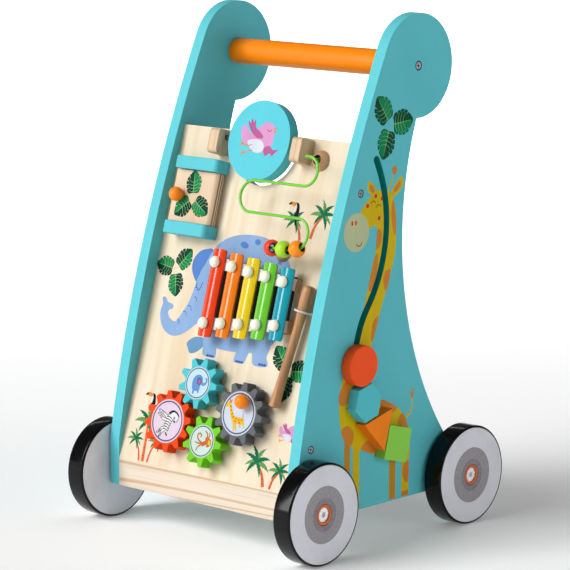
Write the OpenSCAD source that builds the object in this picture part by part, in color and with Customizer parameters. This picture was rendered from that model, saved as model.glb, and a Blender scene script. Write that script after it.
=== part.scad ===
// Baby walker: a wooden push-along activity walker on four wheels.
// Millimetres.  X runs to the right as seen from the front, and left and right are named so,
// Y runs from the play board towards the child, Z is up.  The origin is on the floor, midway
// between the side panels and midway between the two axle lines.

/* [Side panels] */
// Clear width between the two side panels
inner_width = 220; // [200:2:240]
// Thickness of the side panels and of the play board
panel_t = 12; // [12:0.5:13]
// Height of the panels' straight bottom edge above the floor
base_z = 35.5; // [34:0.5:37]
// Front edge of the panels, measured from the middle
front_y = -118; // [-120:0.5:-116]
// Height where the straight front edge turns into the long arc
kink_z = 81; // [76:1:86]
// Radius of the long convex front edge
front_arc_r = 1565; // [1400:5:1800]
// Radius of the hollow rear edge
rear_arc_r = 330; // [325:1:335]
// Radius of the round ear at the handle
ear_r = 49; // [46:0.5:50]

/* [Handle] */
// Handle diameter
handle_d = 25; // [22:0.5:28]
// Handle axis, distance behind the middle
handle_y = 47; // [45:0.5:49]
// Handle axis, height above the floor
handle_z = 444; // [440:0.5:446]

/* [Wheels] */
// Wheel diameter
wheel_d = 96; // [90:1:96]
// Wheel width
wheel_w = 20; // [18:0.5:22]
// Distance between the front and rear axles
wheelbase = 212; // [208:1:214]
// Gap between a side panel and its wheels
wheel_gap = 2.5; // [2.4:0.1:3]

/* [Play board] */
// Lean of the board from vertical, in degrees
board_lean = 16.2; // [15.8:0.1:16.6]
// Length of the board up the slope
board_len = 328; // [324:1:330]
// Height of the top edge of the front rail
rail_top_z = 62.2; // [60:0.1:63]
// Thickness of the front rail
rail_t = 14; // [13:0.5:15]

/* [Spinning disc] */
// Radius of the disc
disc_r = 38.5; // [36:0.5:39]
// Disc thickness
disc_t = 12; // [11:0.5:12]
// Height of the disc's centre up the board
disc_v = 319; // [318:0.5:321]
// Radius of the notch in the board behind the disc
notch_r = 41; // [40.5:0.5:43]

/* [Gears] */
// Centre distance of meshing gears
gear_centres = 50; // [50:0.1:50.6]
// Tip radius of the twelve-tooth gears
tip_r12 = 29.3; // [29:0.1:29.3]
// Tip radius of the nine-tooth gears
tip_r9 = 24.2; // [23.9:0.1:24.2]

/* [Xylophone] */
// Width of a sound bar
bar_w = 16; // [15:0.5:17]
// Spacing of the sound bars
bar_pitch = 22.1; // [21.5:0.1:22.2]
// Length of the longest bar
bar_len_max = 84; // [80:1:86]
// Step in length from one bar to the next
bar_len_step = 4; // [3:0.5:5]

/* [Sliding blocks] */
// Thickness of the blocks that slide on the side panel
block_t = 11.7; // [10:0.1:12]
// Width of the groove that they slide in
groove_w = 8; // [8:0.1:8.4]

/* [Hidden] */
// One list entry for each node

$fn = 64;
EPS = 0.01;
LEFT = -1;
RIGHT = 1;
TURQUOISE = [0.33, 0.76, 0.78];
PINE = [0.89, 0.78, 0.62];
BEECH = [0.80, 0.63, 0.45];
ORANGE = [0.96, 0.45, 0.10];
RED = [0.90, 0.25, 0.12];
GREEN = [0.47, 0.80, 0.22];
GREY = [0.42, 0.43, 0.45];
STEEL = [0.75, 0.76, 0.78];

// Running clearance on the radius, and the gap kept between parts that only pass each other
run = 0.05;
gap = 0.3;

// Side panel outline in the (Y, Z) plane.  The long front arc starts at the kink and runs
// tangent into the round ear, so its centre lies on two known circles.
half_in = inner_width / 2;
half_out = half_in + panel_t;
ear_c = [handle_y, handle_z];
kink = [front_y, kink_z];
chord = norm(ear_c - kink);
chord_dir = (ear_c - kink) / chord;
chord_side = [chord_dir[1], -chord_dir[0]];
foot = (pow(front_arc_r, 2) - pow(front_arc_r - ear_r, 2) + pow(chord, 2)) / (2 * chord);
front_c = kink + foot * chord_dir + sqrt(pow(front_arc_r, 2) - pow(foot, 2)) * chord_side;
ear_out = (ear_c - front_c) / norm(ear_c - front_c);
rear_y = 122;
rear_c = [rear_y + 234, 285];

// Groove for the sliding blocks: two arcs that meet smoothly
low_c = [48.6, 172.7];
low_r = 88.8;
high_r = 126.1;
join_a = 143;
groove_end_a = 243.5;
groove_top_a = 28;
high_c = low_c + (low_r + high_r) * [cos(join_a), sin(join_a)];
block_angles = [179, 202.5, 223, groove_end_a];
block_z = panel_t + gap;
peg_r = groove_w / 2 - 0.3;
peg_head_r = 7.5;
peg_head_t = 2.1;
peg_in_block = 8;

// Wheels and axles; local Z of a wheel points away from the side panel's outer face
wheel_r = wheel_d / 2;
tyre_t = 2;
tyre_round = 1.8;
sleeve_r = 8;
flange_r = 9.6;
flange_t = 2.3;
bolt_r = 4;
bolt_head_r = 6.9;
bolt_head_t = 5.5;
wheel_out = wheel_gap + wheel_w;
half_base = wheelbase / 2;
washer_r = 10;
insert_r = 5.5;
insert_floor = 0.8;
bolt_head_sunk = 1.3;
bolt_head_z = wheel_out - bolt_head_t - bolt_head_sunk;
bolt_recess_r = 7.1;
bolt_socket_r = 3;
bolt_socket_floor = 2;

// Screws through the panels, and dowels of the front rail
screw_v = [45, 283];
screw_r = 2;
screw_head_r = 3.8;
screw_head_t = 2.2;
screw_len = 36;
screw_sunk = 0.2;
grip_screw_r = 3;
grip_screw_head_r = 4.6;
grip_screw_len = 45;
peg_hole_depth = 10;
drive_w = 1.1;
drive_depth = 1.2;
dowel_r = 3;
dowel_in_rail = 16;
dowel_in_panel = 9;
dowel_edge = 4.6;

// Spinning disc
disc_u = 1;
disc_h = disc_t / 2;
bracket_in = 46.75;
bracket_w = 12;
bracket_v = [302, 326];
bracket_h = 18;
spin_pin_r = 2.5;
spin_pin_grip = 15;
spin_pin_hold = 9;
bracket_round = 4;

// Door
door_hinge_u = -46.5;
door_left_u = -95.5;
door_v = [233.1, 283.4];
door_t = 12;
door_h = 0.5;
door_rail_w = 12.2;
door_rail_u = [-94, -40.3];
door_rail_h = 18;
door_pin_r = 2.5;
door_pin_in_door = 7;
door_pin_in_rail = 5;
door_rail_round = 5;
door_knob_u = -85;
door_knob_r = 7;
door_knob_rise = 6.4;
knob_neck_r = 3;
knob_neck_depth = 10;

// Bead maze wire, all in the plane wire_h between its two ends
wire_r = 1.35;
wire_h = 26.5;
turn_a = [80, 294];
turn_a_r = 14;
turn_b = [20, 265];
turn_c = [82, 235];
turn_r = 15;
top_bend_r = 7.5;
low_bend_r = 11.5;
socket_a = [turn_a[0] - top_bend_r, turn_a[1] + turn_a_r];
socket_b = [48, turn_c[1] - turn_r];
wire_root = -8;
socket_r = 10;
socket_rise = 8;
socket_hole_r = 4.6;
socket_floor = 2.5;
bead_r = 7.9;
bead_bore_r = 3.2;
bead_red_bore_r = 3.4;
bead_orange_a = -68.5;
bead_green_u = 70.9;
bead_red_a = 32;

// Xylophone
xylo_u = -28;
xylo_v = 170.6;
xylo_len = 105.5;
xylo_half = 30;
xylo_tilt = 5.6;
xylo_rail_w = 12;
xylo_rail_h = 7;
felt_w = 11;
felt_top = 12;
bar_h = 12.2;
bar_t = 4;
bar_crown = 2.2;
bar_corner_r = 2.5;
first_bar_u = -18.4;
pin_r = 1.5;
pin_depth = 2;
pin_shift = -1.1;
pin_skirt = 0.8;
pin_cap = 4.6;
pin_head_r = 5.6;

// Gears: teeth, place and phase.  Each gear's phase follows from the one that drives it.
gear_h = 3;
gear_t = 12.5;
root_r12 = 22.5;
root_r9 = 17;
tooth_root_w = 8.6;
tooth_tip_w = 4.5;
label_t = 0.8;
gear_bore_t = 8;
gear_peg_r = 4;
gear_head_r = 6;
gear_head_t = 2;
gear_collar_r = 7;
label_r12 = 20.8;
label_r9 = 15.5;
grey_c = [45.3, 64.6];
grey_line = 219.7;
green_line = 166.5;
red_line = 54.5;
green_c = grey_c + gear_centres * [cos(grey_line), sin(grey_line)];
red_c = green_c + gear_centres * [cos(green_line), sin(green_line)];
turquoise_c = red_c + gear_centres * [cos(red_line), sin(red_line)];
function driven_phase(line, teeth_a, phase_a, teeth_b, mesh) =
    line + 180 - 360 / teeth_b * (mesh - (line - phase_a) * teeth_a / 360);
grey_a = -3;
green_a = driven_phase(grey_line, 12, grey_a, 9, 0.5);
red_a = driven_phase(green_line, 9, green_a, 12, 0.5);
turquoise_a = driven_phase(red_line, 12, red_a, 9, 0.45);
knob_arm = 13.3;
knob_a = 57.6;
knob_r = 6.8;
knob_rise = 6.8;

// Mallet
mallet_foot = [80, 76.5];
mallet_h = 8;
mallet_tilt = 7.7;
mallet_len = 116;
loop_s = 91.5;
loop_r = 7.2;
loop_wire_r = 1;
loop_depth = 5;

// ---------------------------------------------------------------- helpers

module on_board() {
    translate([0, front_y, rail_top_z]) rotate([90 - board_lean, 0, 0]) children();
}

// A profile in (v, h) on the board, extruded along u from u0
module along_u(u0, length) {
    translate([u0, 0, 0]) rotate([90, 0, 90]) linear_extrude(length) children();
}

// A profile in (u, h) on the board, extruded down the slope from v1 to v0
module along_v(v0, v1) {
    translate([0, v1, 0]) rotate([90, 0, 0]) linear_extrude(v1 - v0) children();
}

// A cylinder along u, from u0 to u1
module rod_u(u0, u1, radius) {
    translate([u0, 0, 0]) rotate([0, 90, 0]) cylinder(h = u1 - u0, r = radius);
}

module both_sides() {
    children();
    mirror([1, 0, 0]) children();
}

// The (Y, Z) plane of the right side panel; local Z runs outwards from its inner face
module on_right_panel() {
    translate([half_in, 0, 0]) rotate([90, 0, 90]) children();
}

module at_axle(side, y) {
    translate([side * half_out, y, wheel_r]) rotate([0, side * 90, 0]) children();
}

module at_axles() {
    for (side = [LEFT, RIGHT])
        for (y = [-half_base, half_base])
            at_axle(side, y) children();
}

// ---------------------------------------------------------------- structure

// Band of width w along an arc, with round ends
module arc_band(c, r, a0, a1, w) {
    steps = 4;
    reach = 2 * r;
    translate(c) {
        intersection() {
            difference() {
                circle(r = r + w / 2, $fn = 360);
                circle(r = r - w / 2, $fn = 360);
            }
            polygon(concat([[0, 0]],
                [for (i = [0 : steps]) let (a = a0 + (a1 - a0) * i / steps) reach * [cos(a), sin(a)]]));
        }
        for (a = [a0, a1])
            translate(r * [cos(a), sin(a)]) circle(d = w);
    }
}

module panel_outline() {
    clip = [[front_y, base_z], [rear_y, base_z], [rear_y, handle_z], ear_c,
            [front_y, handle_z + (handle_y - front_y) * ear_out[1] / -ear_out[0]]];
    translate(ear_c) circle(r = ear_r, $fn = 180);
    difference() {
        intersection() {
            translate(front_c) circle(r = front_arc_r, $fn = 1800);
            polygon(clip);
        }
        translate(rear_c) circle(r = rear_arc_r, $fn = 720);
    }
}

// Holes through a side panel for its screws, dowels and axle inserts
module panel_holes() {
    for (y = [-half_base, half_base])
        translate([half_in - 1, y, wheel_r]) rod_u(0, panel_t + 2, insert_r);
    handle_screw(gap);
    board_screw_pair(gap);
    rail_dowel_pair();
}

module side_panel(grooved) {
    color(TURQUOISE) difference() {
        on_right_panel() linear_extrude(panel_t) difference() {
            panel_outline();
            if (grooved) {
                arc_band(low_c, low_r, join_a, groove_end_a, groove_w);
                arc_band(high_c, high_r, join_a - 180, groove_top_a, groove_w);
            }
        }
        panel_holes();
    }
}

module side_panel_right() { side_panel(true); }

module side_panel_left() { mirror([1, 0, 0]) side_panel(false); }

module front_rail() {
    color(PINE) difference() {
        translate([-half_in, front_y, base_z]) cube([inner_width, rail_t, rail_top_z - base_z]);
        both_sides() rail_dowel_pair();
    }
}

module rail_dowel_pair() {
    for (z = [base_z + dowel_edge, rail_top_z - dowel_edge])
        translate([0, front_y + rail_t / 2, z])
            rod_u(half_in - dowel_in_rail, half_in + dowel_in_panel, dowel_r);
}

module rail_dowels() { color(BEECH) both_sides() rail_dowel_pair(); }

module handle_bar() {
    color(ORANGE) difference() {
        translate([0, handle_y, handle_z]) rod_u(-half_in, half_in, handle_d / 2);
        both_sides() handle_screw(0);
    }
}

// A screw along X through the right panel, with its head just under the outer face
module wood_screw(radius, head_r, length, ease) {
    rod_u(half_out - length, half_out - screw_head_t, radius);
    head_out = ease > 0 ? half_out + 1 : half_out - screw_sunk;
    rod_u(half_out - screw_head_t - EPS, head_out, head_r + ease / 2);
}

module handle_screw(ease) {
    translate([0, handle_y, handle_z]) difference() {
        wood_screw(grip_screw_r, grip_screw_head_r, grip_screw_len, ease);
        if (ease == 0) screw_drive();
    }
}

// Cross recess in a screw's head
module screw_drive() {
    reach = 2 * screw_head_r - 2.6;
    for (size = [[drive_w, reach], [reach, drive_w]])
        translate([half_out - screw_sunk - drive_depth, -size[0] / 2, -size[1] / 2])
            cube([drive_depth + 1, size[0], size[1]]);
}

module board_screw_pair(ease) {
    for (v = screw_v)
        on_board() translate([0, v, -panel_t / 2]) difference() {
            wood_screw(screw_r, screw_head_r, screw_len, ease);
            if (ease == 0) screw_drive();
        }
}

module handle_screws() { color(STEEL) both_sides() handle_screw(0); }

module board_screws() { color(STEEL) both_sides() board_screw_pair(0); }

module activity_board() {
    back_rise = panel_t * tan(board_lean);
    color(PINE) difference() {
        on_board() difference() {
            along_u(-half_in, inner_width)
                polygon([[0, 0], [board_len, 0], [board_len, -panel_t], [back_rise, -panel_t]]);
            translate([disc_u, disc_v, -panel_t - 1])
                cylinder(h = panel_t + 2, r = notch_r, $fn = 128);
            for (c = [grey_c, green_c, red_c, turquoise_c])
                translate([c[0], c[1], -peg_hole_depth])
                    cylinder(h = peg_hole_depth + 1, r = gear_peg_r);
            for (c = [socket_a, socket_b])
                translate([c[0], c[1], wire_root]) cylinder(h = 10, r = wire_r);
            loop_legs();
        }
        both_sides() board_screw_pair(0);
    }
}

// ---------------------------------------------------------------- wheels

module wheel(side, y) {
    at_axle(side, y) color([0.86, 0.86, 0.90]) difference() {
        translate([0, 0, wheel_gap]) cylinder(h = wheel_w, r = wheel_r - tyre_t, $fn = 128);
        cylinder(h = wheel_out + 1, r = sleeve_r + run);
        translate([0, 0, wheel_out - flange_t - gap]) cylinder(h = flange_t + 1, r = flange_r + 0.4);
    }
}

module tyre(side, y) {
    inner = wheel_r - tyre_t;
    at_axle(side, y) color([0.06, 0.06, 0.07]) rotate_extrude($fn = 128) {
        translate([inner, wheel_gap + tyre_round]) square([tyre_t, wheel_w - 2 * tyre_round]);
        translate([inner, wheel_gap]) square([tyre_t - tyre_round, wheel_w]);
        for (x = [wheel_gap + tyre_round, wheel_out - tyre_round])
            intersection() {
                translate([wheel_r - tyre_round, x]) circle(r = tyre_round);
                translate([inner, wheel_gap]) square([tyre_t, wheel_w]);
            }
    }
}

module axle_bolt() {
    tip_z = -panel_t + 1;
    difference() {
        union() {
            translate([0, 0, tip_z]) cylinder(h = bolt_head_z - tip_z + EPS, r = bolt_r);
            translate([0, 0, bolt_head_z]) cylinder(h = bolt_head_t, r = bolt_head_r);
        }
        translate([0, 0, bolt_head_z + bolt_socket_floor])
            cylinder(h = bolt_head_t, r = bolt_socket_r, $fn = 6);
    }
}

module axle_bolts() { color(STEEL) at_axles() axle_bolt(); }

// Flanged sleeve that the wheel turns on; the bolt head sits in its recess
module axle_sleeves() {
    color(ORANGE) at_axles() difference() {
        union() {
            translate([0, 0, wheel_gap - gap]) cylinder(h = wheel_w, r = sleeve_r);
            translate([0, 0, wheel_out - flange_t]) cylinder(h = flange_t - 0.2, r = flange_r);
        }
        cylinder(h = wheel_out, r = bolt_r);
        translate([0, 0, bolt_head_z]) cylinder(h = bolt_head_t + 3, r = bolt_recess_r);
    }
}

module axle_washers() {
    color(STEEL) at_axles() difference() {
        cylinder(h = wheel_gap - gap, r = washer_r);
        translate([0, 0, -1]) cylinder(h = wheel_gap + 1, r = bolt_r);
    }
}

module axle_inserts() {
    color(STEEL) at_axles() translate([0, 0, -panel_t + 0.2]) difference() {
        cylinder(h = panel_t - 0.2, r = insert_r);
        translate([0, 0, insert_floor]) cylinder(h = panel_t, r = bolt_r);
    }
}

// ---------------------------------------------------------------- spinning disc

module spinner_disc() {
    color([0.35, 0.82, 0.85]) on_board() difference() {
        translate([disc_u, disc_v, 0]) cylinder(h = disc_t, r = disc_r, $fn = 128);
        spin_pin_pair();
    }
}

module spin_pin_pair() {
    for (side = [LEFT, RIGHT])
        translate([disc_u, disc_v, disc_h]) mirror([side < 0 ? 1 : 0, 0, 0])
            rod_u(disc_r - spin_pin_grip, bracket_in + spin_pin_hold, spin_pin_r);
}

module spinner_pins() { color(BEECH) on_board() spin_pin_pair(); }

// Block profile in (v, h) with its two front edges rounded
module rounded_front(v0, v1, height, r) {
    translate([v0, 0]) square([v1 - v0, height - r]);
    translate([v0 + r, 0]) square([v1 - v0 - 2 * r, height]);
    for (v = [v0 + r, v1 - r])
        translate([v, height - r]) circle(r = r);
}

module spinner_brackets() {
    color(BEECH) on_board() for (u0 = [disc_u - bracket_in - bracket_w, disc_u + bracket_in])
        difference() {
            along_u(u0, bracket_w)
                rounded_front(bracket_v[0], bracket_v[1], bracket_h, bracket_round);
            translate([disc_u, disc_v, disc_h])
                rod_u(-bracket_in - spin_pin_hold - 1, bracket_in + spin_pin_hold + 1, spin_pin_r + run);
        }
}

// ---------------------------------------------------------------- door

module door_panel() {
    mid = door_h + door_t / 2;
    color(PINE) on_board() difference() {
        along_v(door_v[0], door_v[1]) {
            translate([door_left_u, door_h]) square([door_hinge_u - door_left_u, door_t]);
            translate([door_hinge_u, mid]) circle(d = door_t);
        }
        for (v = [door_v[0] - 1, door_v[1] - door_pin_in_door - 1])
            translate([door_hinge_u, v + door_pin_in_door + 2, mid]) rotate([90, 0, 0])
                cylinder(h = door_pin_in_door + 2, r = door_pin_r + run);
        door_knob_place() translate([0, 0, -knob_neck_depth])
            cylinder(h = knob_neck_depth + 1, r = knob_neck_r);
    }
}

module door_knob_place() {
    translate([door_knob_u, (door_v[0] + door_v[1]) / 2, door_h + door_t]) children();
}

module door_knob() {
    color(ORANGE) on_board() door_knob_place() {
        translate([0, 0, -knob_neck_depth]) cylinder(h = knob_neck_depth + 1, r = knob_neck_r);
        translate([0, 0, door_knob_rise]) sphere(r = door_knob_r);
    }
}

module door_pins() {
    pin_len = door_pin_in_door + door_pin_in_rail;
    color(STEEL) on_board() for (v = [door_v[0] - door_pin_in_rail, door_v[1] - door_pin_in_door])
        translate([door_hinge_u, v + pin_len, door_h + door_t / 2]) rotate([90, 0, 0])
            cylinder(h = pin_len, r = door_pin_r);
}

module door_rail_profile() {
    r = door_rail_round;
    u0 = door_rail_u[0];
    u1 = door_rail_u[1];
    translate([u0, 0]) square([u1 - u0, door_rail_h - r]);
    translate([u0, 0]) square([u1 - u0 - r, door_rail_h]);
    translate([u1 - r, door_rail_h - r]) circle(r = r);
}

module door_rails() {
    color(TURQUOISE) on_board() difference() {
        for (v = [door_v[0] - gap - 0.1 - door_rail_w, door_v[1] + gap + 0.1])
            along_v(v, v + door_rail_w) door_rail_profile();
        translate([door_hinge_u, door_v[1] + door_pin_in_rail, door_h + door_t / 2])
            rotate([90, 0, 0])
                cylinder(h = door_v[1] - door_v[0] + 2 * door_pin_in_rail, r = door_pin_r);
    }
}

// ---------------------------------------------------------------- bead maze

// Quarter or half turn of wire in the (u, v) plane at the wire's height
module wire_turn(c, r, a0, a1) {
    translate([c[0], c[1], wire_h]) rotate([0, 0, a0])
        rotate_extrude(angle = a1 - a0, $fn = 96) translate([r, 0]) circle(r = wire_r, $fn = 32);
}

module wire_run(u0, u1, v) {
    translate([0, v, wire_h]) rod_u(u0, u1, wire_r, $fn = 32);
}

// Bend from the plane of the wire down to the board, then the leg into its hole
module wire_leg(socket, r) {
    translate([socket[0] + r, socket[1], wire_h - r]) rotate([90, 0, 0]) rotate([0, 0, 90])
        rotate_extrude(angle = 90, $fn = 96) translate([r, 0]) circle(r = wire_r, $fn = 32);
    translate([socket[0], socket[1], wire_root])
        cylinder(h = wire_h - r - wire_root, r = wire_r, $fn = 32);
}

module maze_wire() {
    color(GREEN) on_board() {
        wire_leg(socket_a, top_bend_r);
        wire_turn(turn_a, turn_a_r, -90, 90);
        wire_run(turn_b[0], turn_a[0], turn_a[1] - turn_a_r);
        wire_turn(turn_b, turn_r, 90, 270);
        wire_run(turn_b[0], turn_c[0], turn_b[1] - turn_r);
        wire_turn(turn_c, turn_r, -90, 90);
        wire_run(socket_b[0] + low_bend_r, turn_c[0], turn_c[1] - turn_r);
        wire_leg(socket_b, low_bend_r);
    }
}

module maze_sockets() {
    ball_r = (pow(socket_r, 2) + pow(socket_rise, 2)) / (2 * socket_rise);
    color(BEECH) on_board() for (c = [socket_a, socket_b])
        translate([c[0], c[1], 0]) difference() {
            intersection() {
                translate([0, 0, socket_rise - ball_r]) sphere(r = ball_r, $fn = 96);
                cylinder(h = socket_rise + 1, r = socket_r + 1);
            }
            translate([0, 0, -1]) cylinder(h = socket_rise + 2, r = wire_r);
            translate([0, 0, socket_floor]) cylinder(h = socket_rise, r = socket_hole_r);
        }
}

// A bead centred on the origin with its bore along X, the bore's mouths eased
module bead(bore_r) {
    ease = 1.3;
    mouth = sqrt(pow(bead_r, 2) - pow(bore_r + ease, 2));
    rotate([0, 90, 0]) rotate_extrude($fn = 96) difference() {
        intersection() {
            circle(r = bead_r, $fn = 96);
            translate([bore_r, -bead_r]) square([bead_r, 2 * bead_r]);
        }
        for (side = [-1, 1])
            polygon([[bore_r - 1, side * bead_r], [bore_r - 1, side * (mouth - ease)],
                     [bore_r, side * (mouth - ease)], [bore_r + ease, side * mouth],
                     [bore_r + ease, side * bead_r]]);
    }
}

module bead_orange() {
    a = bead_orange_a;
    rest_r = turn_r - 1;
    color(ORANGE) on_board()
        translate([turn_c[0] + rest_r * cos(a), turn_c[1] + rest_r * sin(a), wire_h])
            rotate([0, 0, a + 90]) bead(bead_bore_r);
}

module bead_green() {
    color(GREEN) on_board() 
        translate([bead_green_u, turn_c[1] - turn_r, wire_h]) bead(bead_bore_r);
}

module bead_red() {
    rest_r = low_bend_r - 1.25;
    color(RED) on_board()
        translate([socket_b[0] + low_bend_r - rest_r * sin(bead_red_a), socket_b[1],
                   wire_h - low_bend_r + rest_r * cos(bead_red_a)])
            rotate([0, -bead_red_a, 0]) bead(bead_red_bore_r);
}

// ---------------------------------------------------------------- xylophone

// Centre of a support rail at a given u; side is 1 for the upper and -1 for the lower rail
function rail_v(side, u) = xylo_v + side * (xylo_half - (u - xylo_u) * tan(xylo_tilt));
function bar_u(i) = first_bar_u + i * bar_pitch;

module rail_strip(side, width, h0, h1) {
    translate([xylo_u, rail_v(side, xylo_u), h0]) rotate([0, 0, -side * xylo_tilt])
        translate([0, -width / 2, 0]) cube([xylo_len, width, h1 - h0]);
}

module at_pins() {
    for (i = [0 : 4])
        bar_pins(i) children();
}

module bar_pins(i) {
    u = bar_u(i) + pin_shift;
    for (side = [-1, 1])
        translate([u, rail_v(side, u), 0]) children();
}

module xylophone_rails() {
    color(BEECH) on_board() difference() {
        for (side = [-1, 1])
            rail_strip(side, xylo_rail_w, 0, xylo_rail_h);
        at_pins() translate([0, 0, pin_depth]) cylinder(h = felt_top, r = pin_r);
    }
}

module xylophone_felts() {
    color("white") on_board() difference() {
        for (side = [-1, 1])
            rail_strip(side, felt_w, xylo_rail_h, felt_top);
        at_pins() cylinder(h = felt_top + 1, r = pin_r);
    }
}

module xylophone_pins() {
    seat = bar_h + bar_t + 0.2;
    ball_r = (pow(pin_head_r, 2) + pow(pin_cap, 2)) / (2 * pin_cap);
    color([0.93, 0.92, 0.82]) on_board() at_pins() {
        translate([0, 0, pin_depth]) cylinder(h = seat - pin_depth + 0.5, r = pin_r);
        translate([0, 0, seat]) cylinder(h = pin_skirt, r = pin_head_r);
        translate([0, 0, seat + pin_skirt]) intersection() {
            translate([0, 0, pin_cap - ball_r]) sphere(r = ball_r);
            cylinder(h = pin_cap + 1, r = pin_head_r);
        }
    }
}

// A rectangle centred on the origin with round corners
module round_plate(width, length, r) {
    square([width - 2 * r, length], center = true);
    square([width, length - 2 * r], center = true);
    for (x = [r - width / 2, width / 2 - r])
        for (y = [r - length / 2, length / 2 - r])
            translate([x, y]) circle(r = r);
}

// A crowned bar with round corners and a loose hole for each of its two pins
module sound_bar(i, shade) {
    length = bar_len_max - i * bar_len_step;
    crown_r = pow(bar_w, 2) / (8 * bar_crown) + bar_crown / 2;
    color(shade) on_board() difference() {
        intersection() {
            along_v(xylo_v - length, xylo_v + length)
                translate([bar_u(i), bar_h + bar_t - crown_r]) circle(r = crown_r, $fn = 256);
            translate([bar_u(i), xylo_v, bar_h])
                linear_extrude(bar_t + 1) round_plate(bar_w, length, bar_corner_r);
        }
        bar_pins(i) translate([0, 0, bar_h - 1]) cylinder(h = bar_t + 2, r = pin_r + 0.6);
    }
}

module bar_red() { sound_bar(0, RED); }

module bar_orange() { sound_bar(1, ORANGE); }

module bar_yellow() { sound_bar(2, [0.96, 0.82, 0.12]); }

module bar_green() { sound_bar(3, GREEN); }

module bar_blue() { sound_bar(4, [0.08, 0.66, 0.72]); }

// ---------------------------------------------------------------- gears

// Corner points of one tooth, root to tip to root, at angle a
function tooth(a, root_r, tip_r) =
    let (out = [cos(a), sin(a)], across = [-sin(a), cos(a)],
         base = sqrt(pow(root_r, 2) - pow(tooth_root_w / 2, 2)))
    [base * out - tooth_root_w / 2 * across, tip_r * out - tooth_tip_w / 2 * across,
     tip_r * out + tooth_tip_w / 2 * across, base * out + tooth_root_w / 2 * across];

module gear(c, teeth, phase, root_r, tip_r, label_r) {
    on_board() translate([c[0], c[1], gear_h]) difference() {
        linear_extrude(gear_t)
            polygon([for (k = [0 : teeth - 1]) each tooth(phase + 360 * k / teeth, root_r, tip_r)]);
        translate([0, 0, -1]) cylinder(h = gear_t, r = gear_peg_r + run);
        translate([0, 0, gear_bore_t]) cylinder(h = gear_t, r = gear_head_r + 0.6);
        translate([0, 0, gear_t - label_t]) cylinder(h = 2, r = label_r + 0.1, $fn = 96);
    }
}

module label(c, label_r) {
    on_board() translate([c[0], c[1], gear_h + gear_t - label_t])
        cylinder(h = label_t, r = label_r, $fn = 96);
}

module gear_grey() {
    color(GREY) difference() {
        gear(grey_c, 12, grey_a, root_r12, tip_r12, label_r12);
        gear_knob_neck();
    }
}

module gear_green() { color(GREEN) gear(green_c, 9, green_a, root_r9, tip_r9, label_r9); }

module gear_red() { color(RED) gear(red_c, 12, red_a, root_r12, tip_r12, label_r12); }

module gear_turquoise() {
    color(TURQUOISE) gear(turquoise_c, 9, turquoise_a, root_r9, tip_r9, label_r9);
}

module label_grey() {
    color([0.88, 0.90, 0.97]) difference() {
        label(grey_c, label_r12);
        gear_knob_neck();
    }
}

module label_green() { color([0.88, 0.96, 0.92]) label(green_c, label_r9); }

module label_red() { color([0.95, 0.86, 0.93]) label(red_c, label_r12); }

module label_turquoise() { color([0.84, 0.95, 0.96]) label(turquoise_c, label_r9); }

// Shoulder pegs: a collar spaces the gear off the board and a head holds it on
module gear_pegs() {
    color(STEEL) on_board() for (c = [grey_c, green_c, red_c, turquoise_c])
        translate([c[0], c[1], 0]) {
            translate([0, 0, -peg_hole_depth])
                cylinder(h = peg_hole_depth + gear_h + gear_bore_t + gap + 1, r = gear_peg_r);
            cylinder(h = gear_h - gap, r = gear_collar_r);
            translate([0, 0, gear_h + gear_bore_t + gap])
                cylinder(h = gear_head_t, r = gear_head_r);
        }
}

module gear_knob_place() {
    on_board() translate([grey_c[0] + knob_arm * cos(knob_a), grey_c[1] + knob_arm * sin(knob_a), 0])
        children();
}

module gear_knob_neck() {
    gear_knob_place() translate([0, 0, gear_h + gear_t - knob_neck_depth + 2])
        cylinder(h = knob_neck_depth, r = knob_neck_r);
}

module gear_knob() {
    color(ORANGE) {
        gear_knob_neck();
        gear_knob_place() translate([0, 0, gear_h + gear_t + knob_rise]) sphere(r = knob_r);
    }
}

// ---------------------------------------------------------------- mallet

module on_mallet() {
    on_board() translate([mallet_foot[0], mallet_foot[1], mallet_h])
        rotate([0, 0, -mallet_tilt]) rotate([-90, 0, 0]) children();
}

// Radius along the turned stick, from the flared foot to the thick head
function mallet_r(s) =
    4.2 + 1.4 * exp(-s / 12) + 2.2 / (1 + exp(-(s - 92) / 5));

module mallet() {
    steps = 24;
    round_top = 4;
    body_len = mallet_len - round_top;
    color(BEECH) on_mallet() rotate_extrude($fn = 64)
        polygon(concat([[0, 0], [mallet_r(0) - 1, 0]],
            [for (i = [0 : steps]) let (s = 1 + (body_len - 1) * i / steps) [mallet_r(s), s]],
            [for (a = [30 : 30 : 90]) [mallet_r(body_len) - round_top * (1 - cos(a)),
                                       body_len + round_top * sin(a)]],
            [[0, mallet_len]]));
}

// Where the elastic loop crosses the mallet's axis
module at_loop() {
    translate([mallet_foot[0], mallet_foot[1], mallet_h]) rotate([0, 0, -mallet_tilt])
        translate([0, loop_s, 0]) children();
}

// The two ends of the elastic loop, down into the board
module loop_legs() {
    at_loop() for (side = [LEFT, RIGHT])
        translate([side * loop_r, 0, -mallet_h - loop_depth])
            cylinder(h = mallet_h + loop_depth, r = loop_wire_r, $fn = 24);
}

module mallet_loop() {
    color("white") on_board() {
        loop_legs();
        at_loop() rotate([90, 0, 0])
            rotate_extrude(angle = 180, $fn = 64) translate([loop_r, 0])
                circle(r = loop_wire_r, $fn = 24);
    }
}

// ---------------------------------------------------------------- sliding blocks

function block_at(i) = low_c + low_r * [cos(block_angles[i]), sin(block_angles[i])];

// A block of the given outline, with a blind hole for its peg
module block(i) {
    difference() {
        on_right_panel() translate([block_at(i)[0], block_at(i)[1], block_z])
            linear_extrude(block_t) children();
        peg(i);
    }
}

// Regular outline with n corners, the first one at angle a
module corners(n, radius, a) {
    polygon([for (k = [0 : n - 1]) radius * [cos(a + 360 * k / n), sin(a + 360 * k / n)]]);
}

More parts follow.
